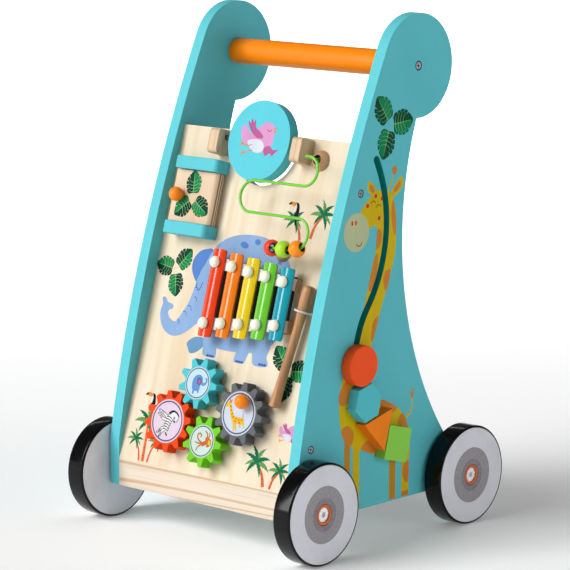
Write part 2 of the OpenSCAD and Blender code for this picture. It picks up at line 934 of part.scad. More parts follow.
// Peg through the groove with a wide head behind the panel
module peg(i) {
    on_right_panel() translate([block_at(i)[0], block_at(i)[1], 0]) {
        translate([0, 0, -gap - 1]) cylinder(h = block_z + gap + 1 + peg_in_block, r = peg_r);
        translate([0, 0, -gap - peg_head_t]) cylinder(h = peg_head_t, r = peg_head_r);
    }
}

module block_circle() { color(RED) block(0) circle(r = 19.1, $fn = 128); }

module block_hexagon() { color(TURQUOISE) block(1) corners(6, 19, 15); }

module block_triangle() { color(ORANGE) block(2) corners(3, 23.4, 44.4); }

module block_square() { color(GREEN) block(3) corners(4, 23, 30.6); }

module peg_circle() { color(BEECH) peg(0); }

module peg_hexagon() { color(BEECH) peg(1); }

module peg_triangle() { color(BEECH) peg(2); }

module peg_square() { color(BEECH) peg(3); }

// ---------------------------------------------------------------- assembly

side_panel_left();
side_panel_right();
activity_board();
front_rail();
rail_dowels();
handle_bar();
handle_screws();
board_screws();
wheel(LEFT, -half_base);  // wheel_front_left
wheel(RIGHT, -half_base);  // wheel_front_right
wheel(LEFT, half_base);  // wheel_rear_left
wheel(RIGHT, half_base);  // wheel_rear_right
tyre(LEFT, -half_base);  // tyre_front_left
tyre(RIGHT, -half_base);  // tyre_front_right
tyre(LEFT, half_base);  // tyre_rear_left
tyre(RIGHT, half_base);  // tyre_rear_right
axle_bolts();
axle_sleeves();
axle_washers();
axle_inserts();
spinner_disc();
spinner_pins();
spinner_brackets();
door_panel();
door_knob();
door_pins();
door_rails();
maze_wire();
maze_sockets();
bead_orange();
bead_green();
bead_red();
xylophone_rails();
xylophone_felts();
xylophone_pins();
bar_red();
bar_orange();
bar_yellow();
bar_green();
bar_blue();
gear_grey();
gear_green();
gear_red();
gear_turquoise();
gear_pegs();
gear_knob();
label_grey();
label_green();
label_red();
label_turquoise();
mallet();
mallet_loop();
block_circle();
block_hexagon();
block_triangle();
block_square();
peg_circle();
peg_hexagon();
peg_triangle();
peg_square();
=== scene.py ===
"""Looks of the baby walker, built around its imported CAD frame.

Places on the play board are in mm across and up its face, and places on the right panel in mm
back and up. Blender's own values are in metres.
"""
import math

import bmesh
import bpy
from mathutils import Matrix, Vector


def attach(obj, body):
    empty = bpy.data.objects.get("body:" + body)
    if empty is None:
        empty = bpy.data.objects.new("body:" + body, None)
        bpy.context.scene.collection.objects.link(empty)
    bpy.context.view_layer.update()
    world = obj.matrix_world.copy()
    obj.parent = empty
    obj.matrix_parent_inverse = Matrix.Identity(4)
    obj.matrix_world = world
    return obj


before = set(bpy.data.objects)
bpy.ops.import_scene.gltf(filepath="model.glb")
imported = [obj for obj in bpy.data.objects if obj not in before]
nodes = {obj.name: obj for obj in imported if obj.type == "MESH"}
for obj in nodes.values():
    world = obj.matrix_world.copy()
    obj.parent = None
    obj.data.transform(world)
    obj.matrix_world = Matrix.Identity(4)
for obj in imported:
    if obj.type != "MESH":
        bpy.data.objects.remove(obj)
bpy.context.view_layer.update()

MM = 0.001
scene = bpy.context.scene

# ---- camera
CAMERA_AT = Vector((1.794, -1.955, 0.686))
CAMERA_BACK = Vector((0.6668, -0.7257, 0.1697)).normalized()
CAMERA_LENS = 177.76
CAMERA_ROLL = math.radians(0.16)

camera_data = bpy.data.cameras.new("camera")
camera_data.lens = CAMERA_LENS
camera_data.sensor_width = 36
camera = bpy.data.objects.new("camera", camera_data)
scene.collection.objects.link(camera)
side = Vector((0, 0, 1)).cross(CAMERA_BACK).normalized()
up = CAMERA_BACK.cross(side)
facing = Matrix((side, up, CAMERA_BACK)).transposed()
camera.matrix_world = (
    Matrix.Translation(CAMERA_AT) @ facing.to_4x4() @ Matrix.Rotation(CAMERA_ROLL, 4, "Z")
)
scene.camera = camera
scene.view_settings.view_transform = "Standard"


# ---- sizes of the CAD part, in mm
BOARD_TILT = math.radians(16.2)
BOARD_CORNER = (0, -118, 62.2)
# Turned by this, the board stands upright and its corner lies at height BOARD_FOOT
UPRIGHT_BOARD = (BOARD_TILT, 0, 0)
BOARD_FOOT = BOARD_CORNER[1] * math.sin(BOARD_TILT) + BOARD_CORNER[2] * math.cos(BOARD_TILT)
PANEL_FACE = 122
# The groove's arcs: centre back and up, and radius
LOWER_ARC = (48.6, 172.7, 88.8)
UPPER_ARC = (-123.1, 302, 126.1)
GROOVE_WIDTH = 8
AXLE_BACK = 106
AXLE_UP = 48
# The wheels' printed rings lie further from the middle than WHEEL_MIDDLE
WHEEL_MIDDLE = 134
INNER_RING_R = 15.5
OUTER_RING_R = 26.7
RING_BLUR = 0.2
GRIP_SCREW_HEAD_R = 4.6
BOARD_SCREW_HEAD_R = 3.8
# The wire's sockets on the board
SOCKETS = ((72.5, 308), (48, 220))
SOCKET_HOLE_R = 4.7
# Only a bead's bore is nearer to its centre than this
BEAD_BORE_REACH = 7.5
# Heights of the printed faces above the board
DOOR_TOP = 12.5
DISC_TOP = 12
LABEL_TOP = 15.5
LARGE_LABEL_R = 20.8
SMALL_LABEL_R = 15.5
# The gears' centres on the board
GEARS = {
    "grey_gear": (45.3, 64.6),
    "red_gear": (-41.8, 44.3),
    "green_gear": (6.83, 32.66),
    "turquoise_gear": (-12.75, 85),
}


# ---- node helpers
# Share of the light that a surface seen as white on a screen sends back
WHITE = 0.8


def colour(red, green, blue):
    """Linear surface values for a colour as seen on a screen, where 255 is white."""
    linear = []
    for value in (red, green, blue):
        c = value / 255
        linear.append(WHITE * (c / 12.92 if c <= 0.04045 else ((c + 0.055) / 1.055) ** 2.4))
    return (*linear, 1)


def scaled(rgba, factor):
    """A lighter or darker colour."""
    return tuple(min(1, c * factor) for c in rgba[:3]) + (1,)


class Finish:
    """A procedural material, built node by node around one Principled shader."""

    def __init__(self, name):
        self.material = bpy.data.materials.new(name)
        self.material.use_nodes = True
        self.tree = self.material.node_tree
        self.shader = self.tree.nodes["Principled BSDF"]
        self.place = self.add("TexCoord").outputs["Object"]

    def add(self, kind, *values, **settings):
        """A shader node with its settings, and its inputs in order. None leaves an input as it is."""
        node = self.tree.nodes.new("ShaderNode" + kind)
        for key, value in settings.items():
            setattr(node, key, value)
        for socket, value in zip(node.inputs, values):
            self.feed(socket, value)
        return node

    def feed(self, socket, value):
        if isinstance(value, bpy.types.NodeSocket):
            self.tree.links.new(value, socket)
        elif value is not None:
            socket.default_value = value

    def fit(self, node, **values):
        """Feeds a node's inputs by their names."""
        for key, value in values.items():
            self.feed(node.inputs[key.replace("_", " ")], value)

    def set(self, **values):
        self.fit(self.shader, **values)

    def math(self, operation, a, b=None, c=None):
        return self.add("Math", a, b, c, operation=operation).outputs[0]

    def times(self, a, b):
        return self.math("MULTIPLY", a, b)

    def noise(self, scale, detail=3.0, roughness=0.55, stretch=(1, 1, 1), turn=(0, 0, 0)):
        node = self.add("TexNoise", self.mapped(stretch, turn))
        self.fit(node, Scale=scale, Detail=detail, Roughness=roughness)
        return node.outputs["Fac"]

    def mapped(self, stretch=(1, 1, 1), turn=(0, 0, 0)):
        """Object coordinates, first turned and then stretched."""
        turned = self.add("Mapping", self.place, None, turn).outputs[0]
        return self.add("Mapping", turned, None, None, stretch).outputs[0]

    def ramp(self, value, low, high, to_low=0.0, to_high=1.0):
        node = self.add("MapRange", value, low, high, to_low, to_high)
        return node.outputs[0]

    def mix(self, factor, a, b):
        """Colour a where the factor is 0, and b where it is 1."""
        node = self.add("Mix", factor, data_type="RGBA")
        self.feed(node.inputs[6], a)
        self.feed(node.inputs[7], b)
        return node.outputs[2]

    def edges(self, radius=0.0012):
        """1 on worn outer and inner edges, 0 elsewhere, broken up by noise."""
        rounded = self.add("Bevel", radius, samples=4).outputs[0]
        flat = self.add("NewGeometry").outputs["Normal"]
        dot = self.add("VectorMath", rounded, flat, operation="DOT_PRODUCT").outputs["Value"]
        edge = self.ramp(dot, 0.995, 0.90)
        return self.times(edge, self.ramp(self.noise(260, 4), 0.42, 0.62))

    def bump(self, height, strength, distance):
        node = self.add("Bump")
        self.fit(node, Height=height, Strength=strength, Distance=distance)
        self.set(Normal=node.outputs[0])

    def within(self, centre, radius, place=None):
        """1 nearer than radius to a point, 0 elsewhere."""
        away = self.add("VectorMath", place or self.place, centre, operation="DISTANCE")
        return self.math("LESS_THAN", away.outputs["Value"], radius)

    def cover(self, mask, rgb):
        """Lays another colour over the finish where the mask is 1."""
        socket = self.shader.inputs["Base Color"]
        self.feed(socket, self.mix(mask, socket.links[0].from_socket, colour(*rgb)))


# ---- finishes
def painted(name, rgb, roughness):
    """Sprayed paint on wood: a faint orange-peel, slight patches, and lighter worn edges."""
    f = Finish(name)
    base = colour(*rgb)
    patches = f.ramp(f.noise(14, 4), 0.3, 0.7)
    body = f.mix(patches, scaled(base, 0.93), scaled(base, 1.05))
    fine = f.noise(900, 2, 0.6)
    body = f.mix(f.ramp(fine, 0.35, 0.65), body, scaled(base, 0.96))
    body = f.mix(f.times(f.edges(), 0.35), body, scaled(base, 1.35))
    f.set(Base_Color=body, Roughness=f.ramp(fine, 0.3, 0.7, roughness - 0.05, roughness + 0.07))
    f.set(Coat_Weight=0.02, Coat_Roughness=0.25, Specular_IOR_Level=0.08)
    f.bump(f.math("ADD", fine, f.noise(160, 3)), 0.10, 0.0003)
    return f


def wood(name, light, dark, along, scale, turn=(0, 0, 0), shift=0.0, rings=0.35):
    """Clear-lacquered wood with its grain along one axis."""
    f = Finish(name)
    stretch = tuple(0.025 if axis == along else 1.0 for axis in "xyz")
    warp = f.noise(9 * scale, 3, 0.5, stretch, turn)
    bands = f.add("TexNoise", f.mapped(stretch, turn), noise_dimensions="4D")
    f.fit(bands, W=shift, Scale=70 * scale, Detail=4.0, Distortion=0.6)
    growth = f.math("SINE", f.times(warp, 420 * rings))
    soft = f.ramp(bands.outputs["Fac"], 0.3, 0.7, 0, 1 - rings)
    figure = f.math("ADD", soft, f.ramp(growth, 0.55, 1, 0, rings))
    pores = f.noise(700 * scale, 2, 0.7, stretch, turn)
    body = f.mix(figure, colour(*light), colour(*dark))
    body = f.mix(f.ramp(pores, 0.56, 0.75, 0, 0.35), body, scaled(colour(*dark), 0.7))
    body = f.mix(f.times(f.edges(), 0.25), body, scaled(colour(*dark), 0.75))
    f.set(Base_Color=body, Roughness=f.ramp(pores, 0.3, 0.7, 0.44, 0.58))
    f.set(Coat_Weight=0.12, Coat_Roughness=0.3)
    f.bump(f.math("ADD", pores, f.times(figure, 0.5)), 0.12, 0.0003)
    return f


def plywood(name, light, dark, ply, layer_mm=4.0):
    """A sanded plywood face with upright grain, and glued layers on its cut edges."""
    f = Finish(name)
    stretch = (1, 1, 0.05)
    warp = f.noise(7, 3, 0.5, stretch, UPRIGHT_BOARD)
    bands = f.noise(60, 5, 0.6, stretch, UPRIGHT_BOARD)
    flame = f.math("SINE", f.times(warp, 75))
    figure = f.math("ADD", f.ramp(bands, 0.32, 0.68, 0, 0.7), f.ramp(flame, 0.1, 1, 0, 0.4))
    clouds = f.ramp(f.noise(10, 2), 0.35, 0.65, 0, 0.35)
    face = f.mix(figure, colour(*light), colour(*dark))
    face = f.mix(clouds, face, scaled(colour(*dark), 1.02))
    pores = f.noise(650, 2, 0.7, (1, 1, 0.03), UPRIGHT_BOARD)
    face = f.mix(f.ramp(pores, 0.58, 0.74, 0, 0.3), face, scaled(colour(*dark), 0.78))
    split = f.add("SeparateXYZ", f.mapped(turn=UPRIGHT_BOARD)).outputs
    layer = f.math("FRACT", f.times(split[1], 1 / (layer_mm * MM)))
    layered = f.mix(f.ramp(layer, 0.47, 0.53), scaled(colour(*light), 0.95), colour(*ply))
    normal = f.add("NewGeometry").outputs["Normal"]
    board_out = (0, -math.cos(BOARD_TILT), math.sin(BOARD_TILT))
    front = f.add("VectorMath", normal, board_out, operation="DOT_PRODUCT").outputs["Value"]
    on_face = f.ramp(f.math("ABSOLUTE", front), 0.5, 0.6)
    body = f.mix(on_face, layered, face)
    f.set(Base_Color=body, Roughness=f.ramp(pores, 0.3, 0.7, 0.42, 0.56))
    f.set(Coat_Weight=0.08, Coat_Roughness=0.35)
    f.bump(f.math("ADD", pores, f.times(figure, 0.4)), 0.10, 0.0003)
    return f


def lacquer(name, rgb, roughness, coat):
    """Glossy lacquer on a turned or stamped part, with faint swirls and rubbed edges."""
    f = Finish(name)
    base = colour(*rgb)
    swirl = f.noise(55, 4, 0.6)
    body = f.mix(f.ramp(swirl, 0.3, 0.7), scaled(base, 0.97), scaled(base, 1.03))
    body = f.mix(f.times(f.edges(0.0008), 0.3), body, scaled(base, 1.4))
    shine = f.ramp(f.noise(320, 3), 0.3, 0.7, roughness - 0.05, roughness + 0.08)
    f.set(Base_Color=body, Roughness=shine)
    f.set(Coat_Weight=coat, Coat_Roughness=0.06, Specular_IOR_Level=0.15)
    f.bump(f.math("ADD", swirl, f.noise(700, 2)), 0.02, 0.0003)
    return f


def metal(name, rgb, roughness):
    """Brushed steel with rubbed edges."""
    f = Finish(name)
    base = colour(*rgb)
    brushed = f.noise(500, 3, 0.6, (0.2, 1, 1))
    body = f.mix(f.ramp(brushed, 0.3, 0.7), scaled(base, 0.85), scaled(base, 1.08))
    body = f.mix(f.times(f.edges(0.0006), 0.5), body, scaled(base, 1.25))
    f.set(Base_Color=body, Roughness=f.ramp(brushed, 0.3, 0.7, roughness, roughness + 0.16))
    f.set(Metallic=0.75)
    f.bump(brushed, 0.08, 0.0002)
    return f


def rubber(name, rgb):
    """Moulded tyre rubber: glossy black with fine speckle and a little dust."""
    f = Finish(name)
    base = colour(*rgb)
    grain = f.noise(900, 3, 0.7)
    dust = f.ramp(f.noise(30, 4), 0.45, 0.75, 0, 0.25)
    body = f.mix(dust, base, scaled(base, 1.9))
    body = f.mix(f.times(f.edges(), 0.5), body, scaled(base, 3.0))
    f.set(Base_Color=body, Roughness=f.ramp(grain, 0.3, 0.7, 0.08, 0.16))
    f.set(Specular_IOR_Level=0.22)
    f.bump(grain, 0.03, 0.0002)
    return f


def groove_wall_shade(f):
    """1 on the walls of the right panel's groove, near either arc and facing along the panel: where
    painted shade goes.
    """
    flat = f.mapped((0, 1, 1))
    height = f.add("SeparateXYZ", f.place).outputs[2]
    near = 0.0
    for (y, z, radius), low, high in ((LOWER_ARC, 80, 240), (UPPER_ARC, 222, 368)):
        away = f.add("VectorMath", flat, (0, y * MM, z * MM), operation="DISTANCE")
        on_arc = f.math("COMPARE", away.outputs["Value"], radius * MM, 0.75 * GROOVE_WIDTH * MM)
        in_span = f.math("COMPARE", height, (low + high) / 2 * MM, (high - low) / 2 * MM)
        near = f.math("MAXIMUM", near, f.times(on_arc, in_span))
    across = f.add("SeparateXYZ", f.add("NewGeometry").outputs["Normal"]).outputs[0]
    return f.times(near, f.math("LESS_THAN", f.math("ABSOLUTE", across), 0.6))


def socket_hole_shade(f, u, v):
    """1 inside the hole of a domed socket at u, v on the play board, where painted shade goes."""
    flat = f.mapped((1, 0, 1), UPRIGHT_BOARD)
    return f.within((u * MM, 0, (v + BOARD_FOOT) * MM), SOCKET_HOLE_R * MM, flat)


def bead(name, rgb):
    """Lacquer with painted shade in its bore. A bead's outside is further from its centre than its
    bore is.
    """
    f = lacquer(name, rgb, 0.38, 0.25)
    corners = [Vector(corner) for corner in nodes[name].bound_box]
    centre = sum(corners, Vector()) / len(corners)
    # Painted shade: the bore is painted dark
    f.cover(f.within(centre, BEAD_BORE_REACH * MM), [c * 0.3 for c in rgb])
    return f


def screw(name, head_radius):
    """Steel with painted shade on the rim and in the drive of the heads, which lie on one or two lines
    along X.
    """
    f = metal(name, (196, 194, 204), 0.24)
    flat = f.mapped((0, 1, 1))
    corners = nodes[name].bound_box
    inset = Vector((0, head_radius, head_radius))
    bright = 0.0
    for centre in (Vector(corners[0]) + inset, Vector(corners[6]) - inset):
        axis = (0, centre.y, centre.z)
        face = f.within(axis, 0.74 * head_radius, flat)
        drive = f.within(axis, 0.27 * head_radius, flat)
        bright = f.math("MAXIMUM", bright, f.math("SUBTRACT", face, drive))
    # Painted shade: all but a ring on each head is painted dark, at the rim and in the drive
    f.cover(f.math("SUBTRACT", 1.0, bright), (44, 38, 48))
    return f


def wheel_face(name):
    """Grey wheel paint. The outer face has two darker printed rings around the axle."""
    f = Finish(name)
    outer, middle, inner = colour(246, 247, 256), colour(153, 146, 151), colour(121, 112, 122)
    split = f.add("SeparateXYZ", f.place).outputs
    off_y = f.math("SUBTRACT", f.math("ABSOLUTE", split[1]), AXLE_BACK * MM)
    off_z = f.math("SUBTRACT", split[2], AXLE_UP * MM)
    squares = f.math("ADD", f.times(off_y, off_y), f.times(off_z, off_z))
    radius = f.math("SQRT", squares)
    inward = f.math("LESS_THAN", f.math("ABSOLUTE", split[0]), WHEEL_MIDDLE * MM)
    body = f.mix(f.ramp(radius, INNER_RING_R * MM, (INNER_RING_R + RING_BLUR) * MM), inner, middle)
    # Inward of the outer face the radius gets a metre more, so no ring shows there
    radius = f.math("ADD", radius, inward)
    body = f.mix(f.ramp(radius, OUTER_RING_R * MM, (OUTER_RING_R + RING_BLUR) * MM), body, outer)
    fine = f.noise(800, 2, 0.6)
    body = f.mix(f.ramp(fine, 0.35, 0.65, 0, 0.25), body, scaled(outer, 0.8))
    body = f.mix(f.ramp(f.noise(26, 4), 0.5, 0.75, 0, 0.18), body, scaled(middle, 1.2))
    body = f.mix(f.times(f.edges(), 0.4), body, scaled(outer, 1.25))
    f.set(Base_Color=body, Roughness=f.ramp(fine, 0.3, 0.7, 0.30, 0.44))
    f.set(Coat_Weight=0.2, Coat_Roughness=0.2)
    f.bump(fine, 0.05, 0.0003)
    return f


def felt(name, rgb, scale=1400, sheen=0.4):
    """Matt cloth with a fine fibre."""
    f = Finish(name)
    base = colour(*rgb)
    fibres = f.noise(scale, 4, 0.8)
    f.set(Base_Color=f.mix(f.ramp(fibres, 0.3, 0.7), scaled(base, 0.8), base))
    f.set(Roughness=f.ramp(fibres, 0.3, 0.7, 0.82, 0.97), Sheen_Weight=sheen)
    f.bump(fibres, 0.5, 0.0005)
    return f


def ink(name, rgb, mottle=0.10):
    """Screen-printed ink with a fine dot and the wood's grain showing through it."""
    f = Finish("ink_" + name)
    base = colour(*rgb)
    dots = f.noise(1500, 2, 0.6)
    grain = f.noise(60, 3, 0.6, (1, 1, 0.08))
    body = f.mix(f.ramp(grain, 0.3, 0.7), scaled(base, 1 - mottle), scaled(base, 1 + mottle / 2))
    body = f.mix(f.ramp(dots, 0.5, 0.75, 0, 0.15), body, scaled(base, 1.15))
    f.set(Base_Color=body, Roughness=f.ramp(dots, 0.3, 0.7, 0.42, 0.58))
    f.set(Specular_IOR_Level=0.08)
    f.bump(f.math("ADD", dots, grain), 0.05, 0.0002)
    return f


TEAL = (106, 215, 225)
panel_paint = painted("panel_turquoise", TEAL, 0.46)
groove_shaded_paint = painted("panel_groove_shaded", TEAL, 0.46)
# Painted shade: the walls of the groove are painted a darker teal
groove_shaded_paint.cover(groove_wall_shade(groove_shaded_paint), (4, 158, 152))
fitting_paint = painted("fitting_turquoise", (100, 212, 224), 0.40)
board_ply = plywood("board_ply", (249, 236, 212), (234, 211, 174), (190, 150, 100))
pine = wood("rail_pine", (246, 232, 213), (214, 174, 130), "x", 0.9, rings=0.75)
beech = wood("beech", (240, 212, 176), (212, 170, 124), "z", 1.6, UPRIGHT_BOARD, 2.0)
beech_dark = wood("beech_turned", (214, 166, 118), (172, 122, 78), "z", 2.0, UPRIGHT_BOARD, 5.0)
socket_wood = wood("beech_socket", (222, 176, 130), (184, 134, 88), "z", 2.0, UPRIGHT_BOARD, 7.0)
# Painted shade: the holes of the sockets are painted dark
for u, v in SOCKETS:
    socket_wood.cover(socket_hole_shade(socket_wood, u, v), (34, 26, 22))
steel = metal("steel", (128, 130, 138), 0.24)
bolt_steel = metal("bolt_steel", (276, 278, 281), 0.16)
pin_plastic = lacquer("pin_cream", (272, 272, 250), 0.34, 0.2)

FINISHES = {
    "side_panel_left": panel_paint,
    "side_panel_right": groove_shaded_paint,
    "activity_board": board_ply,
    "front_rail": pine,
    "rail_dowels": beech,
    "handle_bar": lacquer("handle_orange", (276, 148, 0), 0.32, 0.15),
    "handle_screws": screw("handle_screws", GRIP_SCREW_HEAD_R * MM),
    "board_screws": screw("board_screws", BOARD_SCREW_HEAD_R * MM),
    "axle_bolts": bolt_steel,
    "axle_sleeves": lacquer("sleeve_orange", (240, 120, 50), 0.35, 0.2),
    "axle_washers": steel,
    "axle_inserts": steel,
    "spinner_disc": painted("disc_turquoise", (98, 214, 230), 0.42),
    "spinner_pins": steel,
    "spinner_brackets": beech,
    "door_panel": plywood("door_ply", (240, 216, 184), (224, 190, 150), (150, 102, 60), 2.4),
    "door_knob": lacquer("knob_orange", (281, 152, 18), 0.34, 0.3),
    "door_pins": steel,
    "door_rails": fitting_paint,
    "maze_wire": lacquer("wire_green", (124, 214, 54), 0.24, 0.5),
    "maze_sockets": socket_wood,
    "bead_orange": bead("bead_orange", (280, 158, 24)),
    "bead_green": bead("bead_green", (186, 246, 56)),
    "bead_red": bead("bead_red", (264, 72, 40)),
    "xylophone_rails": beech_dark,
    "xylophone_felts": felt("felt_white", (236, 236, 236)),
    "xylophone_pins": pin_plastic,
    "gear_grey": painted("gear_grey", (106, 110, 114), 0.45),
    "gear_green": painted("gear_green", (122, 214, 38), 0.42),
    "gear_red": painted("gear_red", (250, 76, 12), 0.42),
    "gear_turquoise": painted("gear_turquoise", (84, 206, 218), 0.42),
    "gear_pegs": beech_dark,
    "gear_knob": lacquer("gear_knob_orange", (281, 152, 18), 0.34, 0.3),
    "label_grey": ink("label_blue", (212, 222, 238), 0.03),
    "label_green": ink("label_mint", (208, 232, 222), 0.03),
    "label_red": ink("label_lilac", (234, 212, 232), 0.03),
    "label_turquoise": ink("label_sky", (202, 230, 242), 0.03),
    "mallet": wood("mallet_beech", (216, 158, 104), (160, 102, 58), "z", 1.8, UPRIGHT_BOARD, 13.0),
    "mallet_loop": felt("elastic_white", (238, 236, 236), 2600, 0.15),
    "block_circle": painted("block_red", (280, 98, 40), 0.46),
    "block_hexagon": painted("block_turquoise", (96, 218, 228), 0.46),
    "block_triangle": painted("block_orange", (280, 150, 26), 0.46),
    "block_square": painted("block_green", (159, 238, 90), 0.46),
}
SOUND_BARS = {
    "bar_red": (242, 66, 14),
    "bar_orange": (250, 128, 14),
    "bar_yellow": (242, 208, 20),
    "bar_green": (112, 206, 50),
    "bar_blue": (14, 160, 178),
}
for node_name, rgb in SOUND_BARS.items():
    FINISHES[node_name] = lacquer(node_name, rgb, 0.16, 1.0)
tyre_rubber = rubber("tyre_rubber", (7, 7, 9))
wheel_paint = wheel_face("wheel_grey")
for node_name in nodes:
    if node_name.startswith("wheel_"):
        FINISHES[node_name] = wheel_paint
    elif node_name.startswith("tyre_"):
        FINISHES[node_name] = tyre_rubber
    elif node_name.startswith("peg_"):
        FINISHES[node_name] = beech_dark


# ---- softened CAD solids
def smoothing_group():
    """Geometry nodes that join the solid's faces and shade it smooth, before its edges are rounded."""
    group = bpy.data.node_groups.new("joined_smooth", "GeometryNodeTree")
    group.interface.new_socket("Geometry", in_out="INPUT", socket_type="NodeSocketGeometry")
    group.interface.new_socket("Geometry", in_out="OUTPUT", socket_type="NodeSocketGeometry")
    last = group.nodes.new("NodeGroupInput").outputs[0]
    bare = group.nodes.new("GeometryNodeRemoveAttribute")
    bare.inputs["Name"].default_value = "custom_normal"
    join = group.nodes.new("GeometryNodeMergeByDistance")
    join.inputs["Distance"].default_value = 0.000002
    smooth = group.nodes.new("GeometryNodeSetShadeSmooth")
    for node in (bare, join, smooth):
        group.links.new(last, node.inputs["Geometry"])
        last = node.outputs["Geometry"]
    group.links.new(last, group.nodes.new("NodeGroupOutput").inputs[0])
    return group


USUAL_ROUNDING = 0.7
BAR_ROUNDING = 1.1
SMALL_ROUNDING = 0.15
ROUNDING = {
    "side_panel_left": 1.2,
    "side_panel_right": 1.2,
    "activity_board": 0.5,
    "front_rail": 0.8,
    "spinner_brackets": 1.2,
}
SMALL = (
    "board_screws", "handle_screws", "axle_", "spinner_pins", "door_pins", "mallet_loop",
    "maze_wire", "label_",
)
joined_smooth = smoothing_group()


def rounding(name):
    """Width of the rounded edges on a CAD solid, in mm."""
    if name.startswith(SMALL):
        return SMALL_ROUNDING
    if name.startswith("bar_"):
        return BAR_ROUNDING
    return ROUNDING.get(name, USUAL_ROUNDING)


def soften(name):
    """Rounds the sharp edges of a CAD solid by a modifier. Its own mesh stays as it is."""
    obj = nodes[name]
    joined = obj.modifiers.new("joined", "NODES")
    joined.node_group = joined_smooth
    flat = obj.modifiers.new("flat_faces", "DECIMATE")
    flat.decimate_type = "DISSOLVE"
    flat.angle_limit = math.radians(0.2)
    bevel = obj.modifiers.new("rounded", "BEVEL")
    bevel.width = rounding(name) * MM
    bevel.segments = 3 if name.startswith("bar_") else 2
    bevel.limit_method = "ANGLE"
    bevel.angle_limit = math.radians(38)
    bevel.harden_normals = True


for node_name, obj in nodes.items():
    soften(node_name)
    for slot in obj.material_slots:
        slot.material = FINISHES[node_name].material


# ---- printed pictures
class Plane:
    """A flat face of the object: a corner in mm, and the directions across and up the face."""

    def __init__(self, corner, across, up):
        self.corner, self.across, self.up = Vector(corner), Vector(across), Vector(up)
        self.out = self.across.cross(self.up)

    def at(self, x, y, height):
        return (self.corner + self.across * x + self.up * y + self.out * height) * MM


BOARD = Plane(BOARD_CORNER, (1, 0, 0), (0, math.sin(BOARD_TILT), math.cos(BOARD_TILT)))
RIGHT_SIDE = Plane((PANEL_FACE, 0, 0), (0, 1, 0), (0, 0, 1))


def curved(points, closed=True, steps=5):
    """A smooth curve through a few points."""
    count = len(points)
    made = []
    for i in range(count if closed else count - 1):
        if closed:
            p = [Vector(points[(i + k) % count]) for k in (-1, 0, 1, 2)]
        else:
            p = [Vector(points[min(max(i + k, 0), count - 1)]) for k in (-1, 0, 1, 2)]
        for s in range(steps):
            t = s / steps
            made.append(
                0.5 * (2 * p[1] + (p[2] - p[0]) * t
                       + (2 * p[0] - 5 * p[1] + 4 * p[2] - p[3]) * t * t
                       + (3 * p[1] - p[0] - 3 * p[2] + p[3]) * t ** 3)
            )
    if not closed:
        made.append(Vector(points[-1]))
    return made


def oval(x, y, rx, ry=None, turn=0, parts=28):
    """An ellipse, turned by degrees. Without ry it is a circle."""
    ry = ry or rx
    c, s = math.cos(math.radians(turn)), math.sin(math.radians(turn))
    made = []
    for i in range(parts):
        a = 2 * math.pi * i / parts
        px, py = rx * math.cos(a), ry * math.sin(a)
        made.append(Vector((x + px * c - py * s, y + px * s + py * c)))
    return made


def arc(x, y, radius, start, end, parts):
    """Points on a circle between two angles in degrees."""
    made = []
    for i in range(parts + 1):
        a = math.radians(start + (end - start) * i / parts)
        made.append(Vector((x + radius * math.cos(a), y + radius * math.sin(a))))
    return made


def stroke(path, width, tip=None):
    """The outline of a pen stroke along a path, from one width to another."""
    tip = width if tip is None else tip
    left, right = [], []
    for i, point in enumerate(path):
        ahead = path[min(i + 1, len(path) - 1)] - path[max(i - 1, 0)]
        normal = Vector((-ahead.y, ahead.x)).normalized()
        half = (width + (tip - width) * i / (len(path) - 1)) / 2
        left.append(point + normal * half)
        right.append(point - normal * half)
    return left + right[::-1]


def prism(name, plane, outline, low, high):
    """A closed mesh over an anticlockwise outline on a plane, between two heights."""
    n = len(outline)
    verts = [plane.at(p.x, p.y, height) for height in (low, high) for p in outline]
    faces = [tuple(range(n, 2 * n)), tuple(range(n - 1, -1, -1))]
    faces += [(i, (i + 1) % n, n + (i + 1) % n, n + i) for i in range(n)]
    mesh = bpy.data.meshes.new(name)
    mesh.from_pydata(verts, [], faces)
    return mesh


def carved(mesh, cutter):
    """A closed mesh less the volume of the cutter."""
    holder = bpy.data.objects.new("holder", mesh)
    scene.collection.objects.link(holder)
    cut = holder.modifiers.new("cut", "BOOLEAN")
    cut.object = cutter
    cut.solver = "EXACT"
    bpy.context.view_layer.update()
    settled = holder.evaluated_get(bpy.context.evaluated_depsgraph_get())
    made = bpy.data.meshes.new_from_object(settled)
    bpy.data.objects.remove(holder)
    return made


